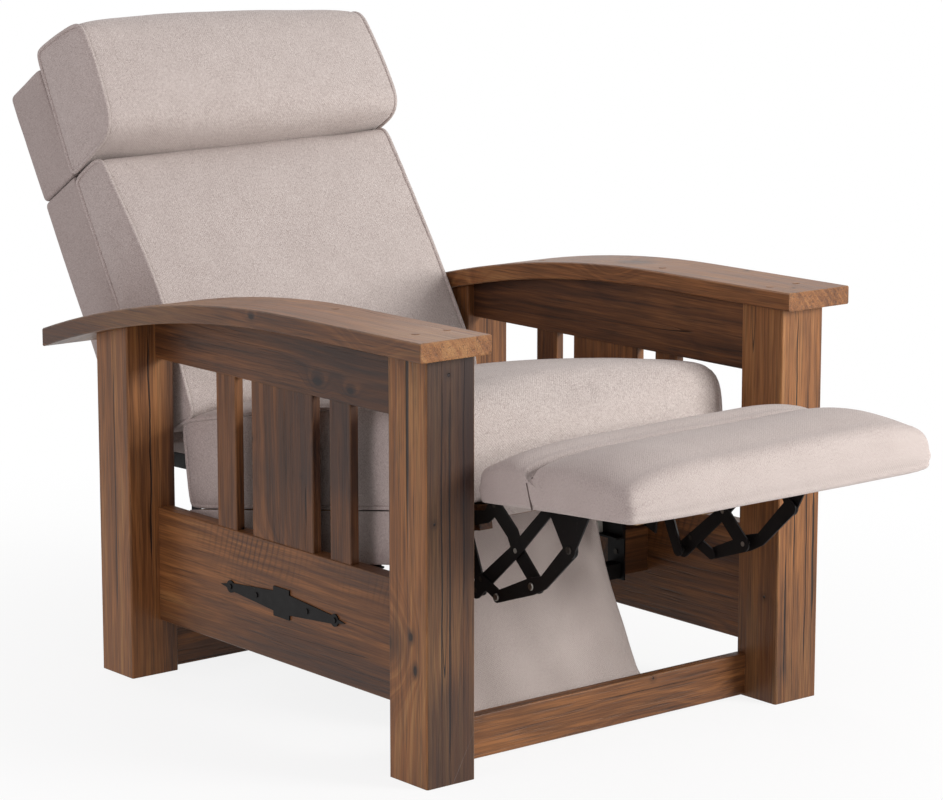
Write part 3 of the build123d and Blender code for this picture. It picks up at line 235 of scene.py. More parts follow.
def saw_marks(g, position, shift, streaks):
    """Slanting marks that the saw left, near the board's upper edge and front end."""
    wavy = g.calc("MULTIPLY", g.noise(g.place((5, 5, 5)), 1.0, 3.0), 0.06)
    slant = g.total((position[2], 0.30), position[1], wavy)
    teeth = g.calc("SINE", g.calc("MULTIPLY", slant, 2 * math.pi / SAW_PITCH))
    area = g.product(g.step(g.noise(g.place((4.0, 4.0, 6.0), move=shift), 1.0, 2.0), 0.40, 0.62),
                     g.step(position[2], 0.17, 0.27), g.step(position[1], 0.30, 0.05),
                     g.step(streaks, 0.30, 0.55))
    return g.calc("MULTIPLY", g.step(teeth, 0.0, 1.0), area)


def oak(name, along, seed, tone, smudge, checks, kerf=0.0, cracks=(), scratches=(), shades=(), knots=(),
        coat=OAK_COAT):
    """Reclaimed oak whose grain runs along one axis, under a satin finish."""
    g = Graph(name)
    shift = (seed * 1.37, seed * 2.11, seed * 0.73)
    axis = "XYZ".index(along)
    others = [i for i in range(3) if i != axis]

    def stretched(across, lengthwise):
        scale = [across] * 3
        scale[axis] = lengthwise
        return g.place(tuple(scale), move=shift)

    # growth lines, which knots push aside
    position = g.split(g.place())
    from_knot = g.cells(g.place((3.1, 3.1, 3.1), move=shift))
    swirl = g.calc("EXPONENT", g.product(from_knot, from_knot, -26.0))
    wander = g.noise(stretched(6.0, 1.5), 1.0, 3.0, 0.55)
    sweep = g.total((swirl, 0.070), (wander, 0.045))
    spots, sweep = named_knots(g, position, axis, knots, sweep)
    rings = g.total(position[others[0]], (position[others[1]], 0.55), sweep)
    spread = g.join(g.calc("MULTIPLY", rings, 150.0), g.calc("MULTIPLY", position[axis], 1.2), seed * 3.3)
    lines = g.step(g.noise(spread, 1.0, 2.0, 0.6), 0.30, 0.72)

    # grain
    streaks = g.noise(stretched(85.0, 2.2), 1.0, 5.0, 0.68)
    fibres = g.noise(stretched(480.0, 12.0), 1.0, 2.0, 0.6)
    pores = g.step(g.noise(stretched(250.0, 7.0), 1.0, 3.0, 0.6), 0.54, 0.68)
    broad = g.noise(stretched(4.6, 1.9), 1.0, 3.0, 0.6, 0.3)
    body = g.total((lines, 0.17), (streaks, 0.48), (broad, 0.60), (tone - 0.5) * 0.5 - 0.08)
    colour = g.ramp(body, (0.22, DARK_OAK), (0.46, MID_OAK), (0.66, WARM_OAK), (0.92, PALE_OAK))
    colour = g.mix(g.calc("MULTIPLY", g.step(fibres, 0.36, 0.66), 0.40), colour, DARK_OAK)
    colour = g.mix(g.calc("MULTIPLY", pores, 0.42), colour, CHAR)

    # weathered patches
    patches = g.noise(stretched(7.5, 2.6), 1.0, 4.0, 0.58, 0.6)
    patch = g.step(patches, 0.66 - 0.2 * smudge, 0.86 - 0.2 * smudge)
    colour = g.mix(g.calc("MULTIPLY", patch, 0.30 + 0.45 * smudge), colour, WEATHERED)

    # long drying checks, and the cracks of the list
    hair = g.noise(stretched(26.0, 0.42), 1.0, 1.0, 0.5)
    fine = g.step(g.calc("ABSOLUTE", g.calc("SUBTRACT", hair, 0.5)), 0.0040, 0.0010)
    where = g.step(g.noise(stretched(14.0, 1.1), 1.0, 1.0), 0.62 - 0.3 * checks, 0.66 - 0.3 * checks)
    check = g.calc("MULTIPLY", fine, where)
    for spec in cracks:
        check = g.calc("MAXIMUM", check, crack(g, position, *spec))
    colour = g.mix(g.calc("MULTIPLY", check, 0.93), colour, CHAR)

    # knots and old nail holes
    ragged = g.total(from_knot, (streaks, 0.05))
    colour = g.mix(g.calc("MULTIPLY", g.step(ragged, 0.22, 0.06), 0.6), colour, KNOT_STAIN)
    colour = g.mix(g.calc("MULTIPLY", g.step(ragged, 0.085, 0.045), 0.85), colour, CHAR)
    for size, away in spots:
        away = g.total(away, (g.calc("SUBTRACT", streaks, 0.5), size))
        colour = g.mix(g.calc("MULTIPLY", g.step(away, size * 2.0, size * 0.6), 0.62), colour, KNOT_STAIN)
        colour = g.mix(g.calc("MULTIPLY", g.step(away, size * 0.9, size * 0.5), 0.85), colour, CHAR)
    from_hole = g.cells(g.place((9.0, 9.0, 9.0), move=shift))
    hole = g.step(from_hole, 0.032, 0.020)
    colour = g.mix(g.calc("MULTIPLY", g.step(from_hole, 0.11, 0.03), 0.35), colour, CHAR)
    colour = g.mix(hole, colour, CHAR)

    height = g.total((streaks, 0.5), (pores, -0.30), (fibres, 0.25), (check, -2.2), (hole, -2.0), (lines, 0.10))
    if kerf:
        mark = saw_marks(g, position, shift, streaks)
        colour = g.mix(g.calc("MULTIPLY", mark, kerf), colour, DARK_OAK)
        height = g.total(height, (mark, -0.3))

    # darker stretches at listed places: scorch over the near front post's front face, painted shade on the near
    # arm's outer edge, and elsewhere plain darkening beyond the listed limits
    for limits, depth in shades:
        mask = depth
        for which, low, high in limits:
            ragged_edge = g.calc("MULTIPLY", g.calc("SUBTRACT", patches, 0.5), 2.2 * abs(high - low))
            mask = g.calc("MULTIPLY", g.step(g.calc("ADD", position[which], ragged_edge), low, high), mask)
        colour = g.mix(mask, colour, SCORCH_AND_SHADE)
    for spec in scratches:
        mark = g.calc("MULTIPLY", crack(g, position, *spec), g.step(streaks, 0.35, 0.55))
        colour = g.mix(g.calc("MULTIPLY", mark, 0.6), colour, SCRAPED)

    # paler edges: painted highlight along the edges, also handling wear
    bevel = g.add("ShaderNodeBevel", {"Radius": 0.0025}, samples=4)
    normal = g.add("ShaderNodeNewGeometry", {}, "Normal")
    facing = g.add("ShaderNodeVectorMath", {0: bevel, 1: normal}, "Value", operation="DOT_PRODUCT")
    edge_highlight_and_wear = g.product(g.step(facing, 0.985, 0.86), g.step(streaks, 0.3, 0.6), 0.35)
    colour = g.mix(edge_highlight_and_wear, colour, PALE_OAK)

    return g.finish(Base_Color=colour, Roughness=g.total((streaks, 0.25), 0.30),
                    Normal=g.bump(height, 0.0010, 0.8, bevel), Specular_IOR_Level=OAK_GLOSS, Coat_Weight=coat,
                    Coat_Roughness=0.3)


LIGHT_YARN = linear(222, 214, 209)
MEAN_YARN = linear(194, 183, 178)
DARK_YARN = linear(146, 132, 128)
YARN_ACROSS, YARN_ALONG = 1200.0, 390.0      # unevenness of the threads, per metre
WEAVE_PITCH = 0.0021


def linen(name, tilt, seed, shade=0.0):
    """Plain heathered weave whose threads follow a part that leans by `tilt`; `shade` mixes in dark yarn as
    painted shade.
    """
    g = Graph(name)
    turn = (math.radians(tilt), 0, 0)
    shift = (seed, seed * 0.7, seed * 0.4)
    place = g.split(g.place(turn=turn))
    normal = g.add("ShaderNodeTexCoord", {}, "Normal")
    facing = g.split(g.add("ShaderNodeMapping", {"Vector": normal, "Rotation": turn}))
    across, fore, up = (g.calc("ABSOLUTE", facing[k]) for k in range(3))
    is_side = g.calc("GREATER_THAN", across, g.calc("MAXIMUM", fore, up))
    is_top = g.calc("GREATER_THAN", up, fore)

    def either(share, first, second):
        return g.calc("ADD", g.calc("MULTIPLY", share, g.calc("SUBTRACT", second, first)), first)

    def thread(along, across_it, offset):
        return g.noise(g.join(g.calc("MULTIPLY", across_it, YARN_ACROSS), g.calc("MULTIPLY", along, YARN_ALONG),
                              offset), 1.0, 1.0, 0.5)

    def wave(value):
        return g.calc("SINE", g.calc("MULTIPLY", value, math.pi / WEAVE_PITCH))

    # threads run across the piece and along its surface
    u = either(is_side, place[0], place[1])
    v = either(is_side, either(is_top, place[2], place[1]), place[2])
    weave = g.calc("MULTIPLY", wave(u), wave(v))
    heather = g.noise(g.place(turn=turn, move=shift), 22.0, 2.0, 0.5)
    tone = g.total((thread(v, u, seed), 0.44), (thread(u, v, seed + 9.0), 0.44), (heather, 0.07), (weave, 0.05))
    colour = g.ramp(tone, (0.28, DARK_YARN), (0.48, MEAN_YARN), (0.70, LIGHT_YARN))
    # painted shade: the whole copy is darkened towards dark yarn by `shade`
    colour = g.mix(shade, colour, DARK_YARN)
    creases = g.noise(g.place((8, 6, 6), turn, shift), 1.0, 3.0, 0.5, 0.4)
    bumped = g.bump(creases, 0.005, 0.25)
    bumped = g.bump(g.total(tone, (weave, 0.15)), 0.0010, 0.6, bumped)
    return g.finish(Base_Color=colour, Roughness=0.95, Normal=bumped, Sheen_Weight=0.12, Sheen_Roughness=0.5,
                    Specular_IOR_Level=0.2)


def steel(name, colour, metallic, roughness):
    """Enamelled or bare steel with faint unevenness."""
    g = Graph(name)
    uneven = g.noise(g.place(), 60.0, 3.0, 0.6)
    scuffs = g.step(g.noise(g.place((90, 90, 90)), 1.0, 4.0, 0.7), 0.62, 0.72)
    shade = g.mix(g.calc("MULTIPLY", scuffs, 0.06), colour, linear(120, 116, 112))
    return g.finish(Base_Color=shade, Metallic=metallic, Roughness=g.total((uneven, 0.2), roughness - 0.1),
                    Normal=g.bump(uneven, 0.0004, 0.35), Specular_IOR_Level=0.18)


def timber(name, along, seed):
    """Plain sawn framing wood."""
    g = Graph(name)
    scale = [90.0] * 3
    scale["XYZ".index(along)] = 3.0
    grain = g.noise(g.place(tuple(scale), move=(seed, seed, seed)), 1.0, 4.0, 0.6)
    colour = g.ramp(grain, (0.3, linear(150, 116, 78)), (0.7, linear(196, 164, 120)))
    return g.finish(Base_Color=colour, Roughness=0.75, Normal=g.bump(grain, 0.0008, 0.6))


def plastic(name):
    """Natural nylon."""
    g = Graph(name)
    grain = g.noise(g.place(), 220.0, 2.0)
    colour = g.ramp(grain, (0.3, linear(214, 210, 198)), (0.7, linear(232, 229, 220)))
    return g.finish(Base_Color=colour, Roughness=0.5, Normal=g.bump(grain, 0.0003, 0.4))


JUTE_PITCH = 0.004


def jute(name, tilt):
    """Coarse woven webbing."""
    g = Graph(name)
    turn = (math.radians(tilt), 0, 0)
    place = g.split(g.place(turn=turn))
    waves = [g.calc("SINE", g.calc("MULTIPLY", place[k], 2 * math.pi / JUTE_PITCH)) for k in range(2)]
    tone = g.total((g.product(*waves), 0.2), g.noise(g.place(turn=turn), 400.0, 3.0))
    colour = g.ramp(tone, (0.3, linear(150, 128, 92)), (0.7, linear(206, 186, 146)))
    return g.finish(Base_Color=colour, Roughness=0.9, Normal=g.bump(tone, 0.001, 0.7))


# Mesh pieces
def mesh_piece(name, verts, faces, material, body, replaces=()):
    data = bpy.data.meshes.new(name)
    data.from_pydata([tuple(v) for v in verts], [], faces)
    data.polygons.foreach_set("use_smooth", [True] * len(data.polygons))
    data.validate()
    data.materials.append(material)
    piece = bpy.data.objects.new(name, data)
    bpy.context.scene.collection.objects.link(piece)
    if body:
        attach(piece, body)
    if replaces:
        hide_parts(*replaces)
    return piece


def corner(y, z, radius, bulge=0.0, crown=0.0, swell=(0, 0), skew=(0, 0), tuck=(0, 0)):
    """A corner of a side view. The bulge and the crown lie on the stretch that follows it.

    In the middle of the piece the corner moves by `swell`, towards the right end by `skew`
    (towards the left end by its reverse), and close to either end by `tuck`."""
    return (y, z, radius, bulge, crown, swell, skew, tuck)


BENDS = 8                    # steps round a corner of a side view
LEG = 0.46                   # largest share of a side that the rounding of a corner takes


def outline(corners, crown=0.0, side=0.0, close=0.0, inset=0.0):
    """Points round a closed side view, as many for every crown, side and closeness to an end."""
    count = len(corners)
    base = [Vector(c[:2]) for c in corners]
    moved = [base[i] + Vector(c[5]) * crown + Vector(c[6]) * side + Vector(c[7]) * close
             for i, c in enumerate(corners)]
    middle = sum(moved, Vector((0, 0))) / count
    spots = []
    for i in range(count):
        point, after, before = moved[i], moved[(i + 1) % count], moved[i - 1]
        towards, back = after - point, before - point
        leg = min(corners[i][2], towards.length * LEG, back.length * LEG)
        start, end = point + back.normalized() * leg, point + towards.normalized() * leg
        for j in range(BENDS + 1):
            t = j / BENDS
            spots.append(start * (1 - t) ** 2 + point * 2 * t * (1 - t) + end * t ** 2)
        beyond = moved[(i + 2) % count] - after
        next_leg = min(corners[(i + 1) % count][2], towards.length * LEG, beyond.length * LEG)
        far = after - towards.normalized() * next_leg
        outward = Vector((towards.y, -towards.x)).normalized()
        if outward.dot(point.lerp(after, 0.5) - middle) < 0:
            outward = -outward
        height = corners[i][3] + corners[i][4] * crown
        plain = base[(i + 1) % count] - base[i]
        pieces = max(2, int(plain.length / STEP))
        for j in range(1, pieces):
            t = j / pieces
            spots.append(end.lerp(far, t) + outward * height * 4 * t * (1 - t))
    if inset:
        spots = [s + (middle - s).normalized() * inset for s in spots]
    return spots


def ripple(value, seed, amount):
    """Slow unevenness along a seam."""
    return amount * noise.noise(Vector((value, seed * 3.1, seed)))


RIM_RINGS, END_RINGS = 5, 9  # rings round an end's rim and over its panel
PUCKER_FADE, WRINKLE_FADE = 0.03, 0.02


def swept(corners, half, place, cap, edge, reach, pucker, wrinkle, power, seed, rows):
    """Mesh of a padded piece swept across the chair, closed by a puffed panel at each end."""
    verts, faces = [], []
    ring = len(outline(corners))
    stations = []
    for j in range(rows + 1):
        t = math.sin((j / rows - 0.5) * math.pi)
        stations.append((0.72 * t + 0.28 * (2 * j / rows - 1)) * (half - edge))
    rims = []
    for k in range(1, RIM_RINGS + 1 if edge else 1):
        angle = k / RIM_RINGS * math.pi / 2
        rims.append((half - edge + edge * math.sin(angle), edge * (1 - math.cos(angle))))
    places = [(-x, inset) for x, inset in reversed(rims)] + [(x, 0.0) for x in stations] + rims

    def ring_at(x, inset):
        near = min(1.0, (half - abs(x)) / reach)
        close = 1 - math.sqrt(1 - (1 - near) ** 2)
        return outline(corners, 1 - abs(x / half) ** power, x / half, close, inset)

    for x, inset in places:
        spots = ring_at(x, inset)
        near = half - abs(x)
        for i, spot in enumerate(spots):
            following = spots[(i + 1) % ring] - spots[i - 1]
            out = Vector((following.y, -following.x)).normalized()
            lift = ripple(i * 0.33, seed + (x > 0), pucker) * math.exp(-near / PUCKER_FADE)
            soft = Vector((x * 9, spot.x * 6, spot.y * 6 + seed))
            lift += wrinkle * noise.noise(soft) * (1 - math.exp(-near / WRINKLE_FADE))
            flat = spot + out * lift
            verts.append(place @ Vector((x, flat.x, flat.y)))
    count = len(places)
    for j in range(count - 1):
        for i in range(ring):
            k = (i + 1) % ring
            faces.append((j * ring + i, j * ring + k, (j + 1) * ring + k, (j + 1) * ring + i))
    for side, j in ((-1, 0), (1, count - 1)):
        x, inset = places[j]
        spots = ring_at(x, inset)
        middle = sum(spots, Vector((0, 0))) / ring
        before = [j * ring + i for i in range(ring)]
        for r in range(1, END_RINGS):
            share = 1 - r / END_RINGS
            puff = cap * (1 - share ** 2.2)
            row = []
            for i, spot in enumerate(spots):
                flat = middle + (spot - middle) * share
                dent = ripple(i * 0.27, seed + 5, pucker) * share ** 4
                verts.append(place @ Vector((x + side * (puff + dent), flat.x, flat.y)))
                row.append(len(verts) - 1)
            for i in range(ring):
                k = (i + 1) % ring
                faces.append((before[i], before[k], row[k], row[i]))
            before = row
        verts.append(place @ Vector((x + side * cap, middle.x, middle.y)))
        centre = len(verts) - 1
        faces += [(before[i], before[(i + 1) % ring], centre) for i in range(ring)]
    return verts, faces


def cushion(name, corners, half, place, material, body, replaces, seed, cap=0.004, edge=0.0, reach=0.04,
            pucker=0.0012, wrinkle=0.0016, power=3.0, rows=46, puff=0.0):
    """A padded piece; `puff` is how far its cloth may swell under pressure."""
    verts, faces = swept(corners, half, place, cap, edge, reach, pucker, wrinkle, power, seed, rows)
    piece = mesh_piece(name, verts, faces, material, None)
    turn_outwards(piece)
    if puff:
        inflate(piece, seam_points(corners, half, place), puff)
    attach(piece, body)
    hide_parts(*replaces)
    return piece


HELD = 0.009                 # distance from a seam within which the cloth is held


def seam_points(corners, half, place):
    """Places along the seams round both ends."""
    points = []
    for side in (-1, 1):
        points += [place @ Vector((side * half, s.x, s.y)) for s in outline(corners, 0.0, side, 1.0)]
    return points


def inflate(piece, seams, limit):
    """Swell a closed cloth under pressure, held along its seams, and keep the result."""
    first = piece.data
    remesh = piece.modifiers.new("remesh", "REMESH")
    remesh.mode = "VOXEL"
    remesh.voxel_size = VOXEL
    kept = applied(piece)
    tree = kdtree.KDTree(len(seams))
    for i, point in enumerate(seams):
        tree.insert(point, i)
    tree.balance()
    group = piece.vertex_groups.new(name="held")
    for vertex in kept.vertices:
        distance = tree.find(vertex.co)[2]
        held = 1.0 if distance < HELD else max(0.0, 0.5 - (distance - HELD) * 30)
        if held:
            group.add([vertex.index], held, "REPLACE")
    before = [v.co.copy() for v in kept.vertices]
    cloth = piece.modifiers.new("cloth", "CLOTH")
    settings = cloth.settings
    settings.quality = 5
    settings.mass = 0.3
    settings.tension_stiffness = settings.compression_stiffness = 18
    settings.shear_stiffness = 8
    settings.bending_stiffness = 0.6
    settings.use_pressure = True
    settings.uniform_pressure_force = PRESSURE
    settings.vertex_group_mass = "held"
    settings.effector_weights.gravity = 0.0
    cloth.point_cache.frame_start, cloth.point_cache.frame_end = 1, CLOTH_FRAMES
    for frame_number in range(1, CLOTH_FRAMES + 1):
        bpy.context.scene.frame_set(frame_number)
    swollen = applied(piece)
    for vertex, start in zip(swollen.vertices, before):
        move = vertex.co - start
        if move.length > limit:
            vertex.co = start + move * (limit / move.length)
    bpy.context.scene.frame_set(1)
    swollen.polygons.foreach_set("use_smooth", [True] * len(swollen.polygons))
    smooth = piece.modifiers.new("smooth", "CORRECTIVE_SMOOTH")
    smooth.iterations = 2
    smooth.use_only_smooth = True
    applied(piece).polygons.foreach_set("use_smooth", [True] * len(piece.data.polygons))
    piece.vertex_groups.clear()
    bpy.data.meshes.remove(first)


def applied(piece):
    """Replace a piece's mesh by what its modifiers make of it."""
    graph = bpy.context.evaluated_depsgraph_get()
    graph.update()
    fresh = bpy.data.meshes.new_from_object(piece.evaluated_get(graph), depsgraph=graph)
    piece.modifiers.clear()
    piece.data = fresh
    return fresh


def turn_outwards(piece):
    """Make every face of a closed mesh look outwards."""
    work = bmesh.new()
    work.from_mesh(piece.data)
    bmesh.ops.recalc_face_normals(work, faces=work.faces)
    work.to_mesh(piece.data)
    work.free()


def tube(name, path, radius, material, body, closed=True, sides=10):
    """A cord of fabric along a path."""
    verts, faces = [], []
    count = len(path)
    for i, point in enumerate(path):
        ahead = path[(i + 1) % count] if closed or i < count - 1 else path[i]
        behind = path[i - 1] if closed or i else path[i]
        along = (ahead - behind).normalized()
        side = Vector((1, 0, 0)) if abs(along.x) < 0.9 else Vector((0, 0, 1))
        across = along.cross(side).normalized()
        side = across.cross(along)
        for j in range(sides):
            angle = 2 * math.pi * j / sides
            verts.append(point + (across * math.cos(angle) + side * math.sin(angle)) * radius)
    for i in range(count if closed else count - 1):
        k = (i + 1) % count
        for j in range(sides):
            m = (j + 1) % sides
            faces.append((i * sides + j, i * sides + m, k * sides + m, k * sides + j))
    if not closed:
        faces.append(tuple(range(sides))[::-1])
        faces.append(tuple((count - 1) * sides + j for j in range(sides)))
    piece = mesh_piece(name, verts, faces, material, body)
    turn_outwards(piece)
    return piece


WELT_OUT, WELT_BEYOND = 0.0030, 0.0006       # from the seam, outwards and past the end panel
WELT_PROUD = 0.45                            # share of the cord's radius
TINY = 1e-6


def welts(name, corners, half, place, material, body, pad):
    """Self welt round both end panels of a boxed cushion, half sunk in its surface."""
    surface = bvhtree.BVHTree.FromPolygons([v.co for v in pad.data.vertices],
                                           [tuple(p.vertices) for p in pad.data.polygons])
    for side, label in ((-1, "left"), (1, "right")):
        path = []
        for spot in outline(corners, 0.0, side, 1.0, -WELT_OUT):
            point = place @ Vector((side * (half + WELT_BEYOND), spot.x, spot.y))
            near, normal = surface.find_nearest(point)[:2]
            off = point - near
            if off.length < TINY or off.dot(normal) < 0:
                off = normal.copy()
            path.append(near + off.normalized() * WELT_PROUD * PIPE)
        for _ in range(3):
            path = [(path[i - 1] + path[i] * 2 + path[(i + 1) % len(path)]) / 4
                    for i in range(len(path))]
        tube(f"{name}_welt_{label}", path, PIPE, material, body)


# Materials
linen_seat = linen("linen_seat", SEAT_TILT, 0.3)
linen_back = linen("linen_back", BACK_TILT, 1.7)
# darker copies of one linen, as painted shade: the footrest, the skirt under the seat and the outer back
linen_foot = linen("linen_footrest", FOOT_TILT, 2.9, 0.26)
linen_skirt = linen("linen_skirt", 20.0, 4.1, 0.30)
linen_shell = linen("linen_shell", BACK_TILT, 5.3, 0.35)
black = steel("black_enamel", linear(11, 8, 8), 0.0, 0.5)
dull = steel("dark_rivets", linear(62, 58, 54), 0.9, 0.42)
bright = steel("bright_pins", linear(134, 130, 124), 1.0, 0.34)
web = jute("jute_webbing", SEAT_TILT)


def shadowed_thread():
    """Dark cord deep in a seam: painted shade of the groove, with a thread's twist."""
    g = Graph("seam_thread_shade")
    twist = g.noise(g.place((700, 700, 700)), 1.0, 2.0)
    colour = g.ramp(twist, (0.3, linear(74, 62, 58)), (0.7, linear(104, 92, 88)))
    return g.finish(Base_Color=colour, Roughness=0.95, Normal=g.bump(twist, 0.0004, 0.5))


seam_thread_shade = shadowed_thread()

# Grain axis, seed, tone, smudges, checks, saw marks
OAK = {
    "front_post_left": ("Z", 1, 0.84, 0.45, 0.5, 0.0),
    "front_post_right": ("Z", 2, 0.74, 0.6, 0.5, 0.0),
    "rear_post_left": ("Z", 3, 0.72, 0.4, 0.5, 0.0),
    "rear_post_right": ("Z", 4, 0.50, 0.5, 0.5, 0.0),
    "arm_left": ("Y", 5, 0.74, 0.36, 0.15, 0.0),
    "arm_right": ("Y", 6, 0.73, 0.40, 0.15, 0.0),
    "upper_rail_left": ("Y", 7, 0.30, 0.85, 0.1, 0.0),
    "upper_rail_right": ("Y", 8, 0.36, 0.9, 0.1, 0.0),
    "lower_rail_left": ("Y", 9, 0.50, 0.4, 0.05, 0.60),
    "lower_rail_right": ("Y", 10, 0.45, 0.4, 0.05, 0.5),
    "slats_left": ("Z", 11, 0.44, 0.5, 0.1, 0.0),
    "slats_right": ("Z", 12, 0.52, 0.35, 0.1, 0.0),
    "front_stretcher": ("X", 13, 0.50, 0.45, 0.1, 0.0),
    "rear_stretcher": ("X", 14, 0.45, 0.5, 0.1, 0.0),
    "arm_plugs": ("X", 15, 0.70, 0.2, 0.0, 0.0),
}
# Cracks and scratches: (axis across, place, axis along, low, high, width, lean)
CRACKS = {
    "front_post_left": [(0, -0.372, 2, 0.10, 0.62, 0.0011), (0, -0.357, 2, 0.02, 0.60, 0.0014),
                        (0, -0.331, 2, 0.25, 0.64, 0.0009)],
    "front_post_right": [(0, 0.345, 2, 0.20, 0.64, 0.0010), (0, 0.372, 2, 0.05, 0.45, 0.0009),
                         (0, 0.388, 2, 0.12, 0.36, 0.0022), (0, 0.327, 2, 0.02, 0.26, 0.0012)],
    "rear_post_left": [(0, -0.358, 2, 0.18, 0.58, 0.0013), (1, 0.385, 2, 0.10, 0.52, 0.0010)],
}
SCRATCHES = {"front_post_left": [(0, -0.352, 2, 0.38, 0.56, 0.0010, 0.55)]}
# Darker stretches: (axis, from, to) for each limit, and the depth
FRONT_FACE = (1, -0.4330, -0.4336)
SHADES = {
    "front_post_left": [([FRONT_FACE], 0.58), ([FRONT_FACE, (2, 0.36, 0.50)], 0.62),
                        ([FRONT_FACE, (0, -0.350, -0.325), (2, 0.22, 0.34)], 0.55),
                        ([FRONT_FACE, (2, 0.20, 0.12)], 0.50)],
    "front_post_right": [([(2, 0.26, 0.10)], 0.40)],
    "rear_post_left": [([(0, -0.335, -0.318)], 0.45)],
    "upper_rail_left": [([(1, 0.10, -0.20)], 0.55)],
    "lower_rail_left": [([(1, 0.05, -0.30), (2, 0.24, 0.27)], 0.55), ([(2, 0.16, 0.10)], 0.45)],
    "slats_left": [([(1, 0.00, -0.05), (2, 0.36, 0.42)], 0.50)],
    # the near arm's outer edge (second entry) is darkened as painted shade
    "arm_left": [([(1, -0.02, 0.03)], 0.22), ([(0, -0.4290, -0.4300)], 0.42)],
}
# Knots: (axis across, place, place along the grain, size)
KNOTS = {
    "upper_rail_left": [(2, 0.554, -0.097, 0.010), (2, 0.551, -0.180, 0.007)],
    "slats_left": [(1, -0.091, 0.445, 0.009)],
    "arm_left": [(2, 0.656, -0.048, 0.005)],
    "front_post_left": [(1, -0.397, 0.224, 0.006), (1, -0.406, 0.175, 0.006)],
}
# frame parts under the seat, given a dark oak
DARK_UNDERFRAME = ("glide_cleats", "seat_front_rail", "seat_rear_rail", "skirt_cleat", "seat_inner_rails")

for node, piece in nodes.items():
    if node in OAK:
        along, seed, tone, smudge, checks, kerf = OAK[node]
        material = oak("oak_" + node, along, seed, tone, smudge, checks, kerf, CRACKS.get(node, ()),
                       SCRATCHES.get(node, ()), SHADES.get(node, ()), KNOTS.get(node, ()),
                       ARM_COAT if node.startswith("arm_") else OAK_COAT)
    elif node in DARK_UNDERFRAME:
        material = oak("oak_" + node, "Y" if node == "seat_inner_rails" else "X", 16, 0.2, 0.8, 0.0,
                       coat=DARK_UNDERFRAME_COAT)
    elif node == "glide_blocks":
        material = plastic("nylon")
    elif node.endswith("webbing"):
        material = web
    elif node.startswith("seat_side"):
        material = timber("timber_" + node, "Y", 3.0)
    elif node == "back_frame":
        material = timber("timber_" + node, "Z", 5.0)
    elif node == "footrest_board":
        material = timber("timber_" + node, "X", 7.0)
    elif node in ("front_swing_rivets", "lower_link_rivets"):
        material = bright
    elif node.endswith("rivets") or node in ("footrest_fasteners", "base_screws"):
        material = dull
    else:
        material = black
    piece.data.materials.clear()
    piece.data.materials.append(material)

# Seat cushion, in the seat's frame
SEAT_HALF = 0.2875
seat_corners = [
    corner(-0.002, 0.003, 0.012),
    corner(-0.664, 0.003, 0.022, 0.004, 0.004, tuck=(0.004, 0.000)),
    corner(-0.708, 0.169, 0.084, 0.006, 0.012, swell=(0.000, 0.006), tuck=(0.012, -0.014)),
    corner(-0.006, 0.158, 0.022, 0.001, 0.002, tuck=(0.000, -0.012)),
]
seat_pad = cushion("seat_pad", seat_corners, SEAT_HALF, SEAT, linen_seat, "seat", ["seat_cushion"],
                   seed=2.0, reach=0.055, cap=0.006, puff=0.024)
welts("seat_pad", seat_corners, SEAT_HALF, SEAT, linen_seat, "seat", seat_pad)

# Back cushion and head cushion, in the back's frame
BACK_HALF = 0.289
back_corners = [
    corner(-0.110, -0.686, 0.012),
    corner(-0.110, -0.214, 0.012, 0.002),
    corner(-0.217, -0.212, 0.022, 0.000, 0.010, skew=(-0.017, 0.000)),
    corner(-0.247, -0.480, 0.120, 0.000, 0.004, swell=(-0.019, 0.000), skew=(-0.006, 0.000)),
    corner(-0.234, -0.696, 0.024, 0.000, 0.004, swell=(-0.030, 0.008), skew=(-0.018, 0.000)),
]
back_pad = cushion("back_pad", back_corners, BACK_HALF, BACK, linen_back, "back", ["back_cushion"],
                   seed=4.0, cap=0.006, puff=0.022)
welts("back_pad", back_corners, BACK_HALF, BACK, linen_back, "back", back_pad)

HEAD_HALF = 0.296
head_corners = [
    corner(-0.114, -0.206, 0.012),
    corner(-0.126, 0.021, 0.014, 0.002, 0.010, swell=(0.008, 0.000), skew=(0.004, 0.000)),
    corner(-0.280, 0.003, 0.034, 0.002, 0.010, swell=(0.008, 0.020), skew=(0.005, 0.000),
           tuck=(0.003, -0.003)),
    corner(-0.284, -0.203, 0.048, 0.000, 0.006, swell=(-0.006, 0.000), skew=(-0.008, -0.005),
           tuck=(0.003, 0.002)),
]
head_pad = cushion("head_pad", head_corners, HEAD_HALF, BACK, linen_back, "back", ["head_cushion"],
                   seed=6.0, cap=0.006, puff=0.022)
welts("head_pad", head_corners, HEAD_HALF, BACK, linen_back, "back", head_pad)

# Upholstered outer back
SHELL_HALF = 0.2905
shell_corners = [
    corner(0.000, -0.700, 0.008, 0.002, 0.002),
    corner(0.000, -0.205, 0.006),
    corner(-0.108, -0.205, 0.006),
    corner(-0.108, -0.700, 0.008),
]
cushion("back_cover", shell_corners, SHELL_HALF, BACK, linen_shell, "back", ["back_shell"], cap=0.002,
        edge=0.006, pucker=0.0006, wrinkle=0.0012, seed=8.0)
head_shell_corners = [
    corner(0.000, -0.2025, 0.006, 0.002, 0.002),
    corner(0.000, 0.000, 0.010),
    corner(-0.108, 0.000, 0.010),
    corner(-0.108, -0.2025, 0.006),
]
cushion("head_cover", head_shell_corners, SHELL_HALF, BACK, linen_shell, "back", ["head_shell"], cap=0.002,
        edge=0.006, pucker=0.0006, wrinkle=0.0012, seed=9.0)

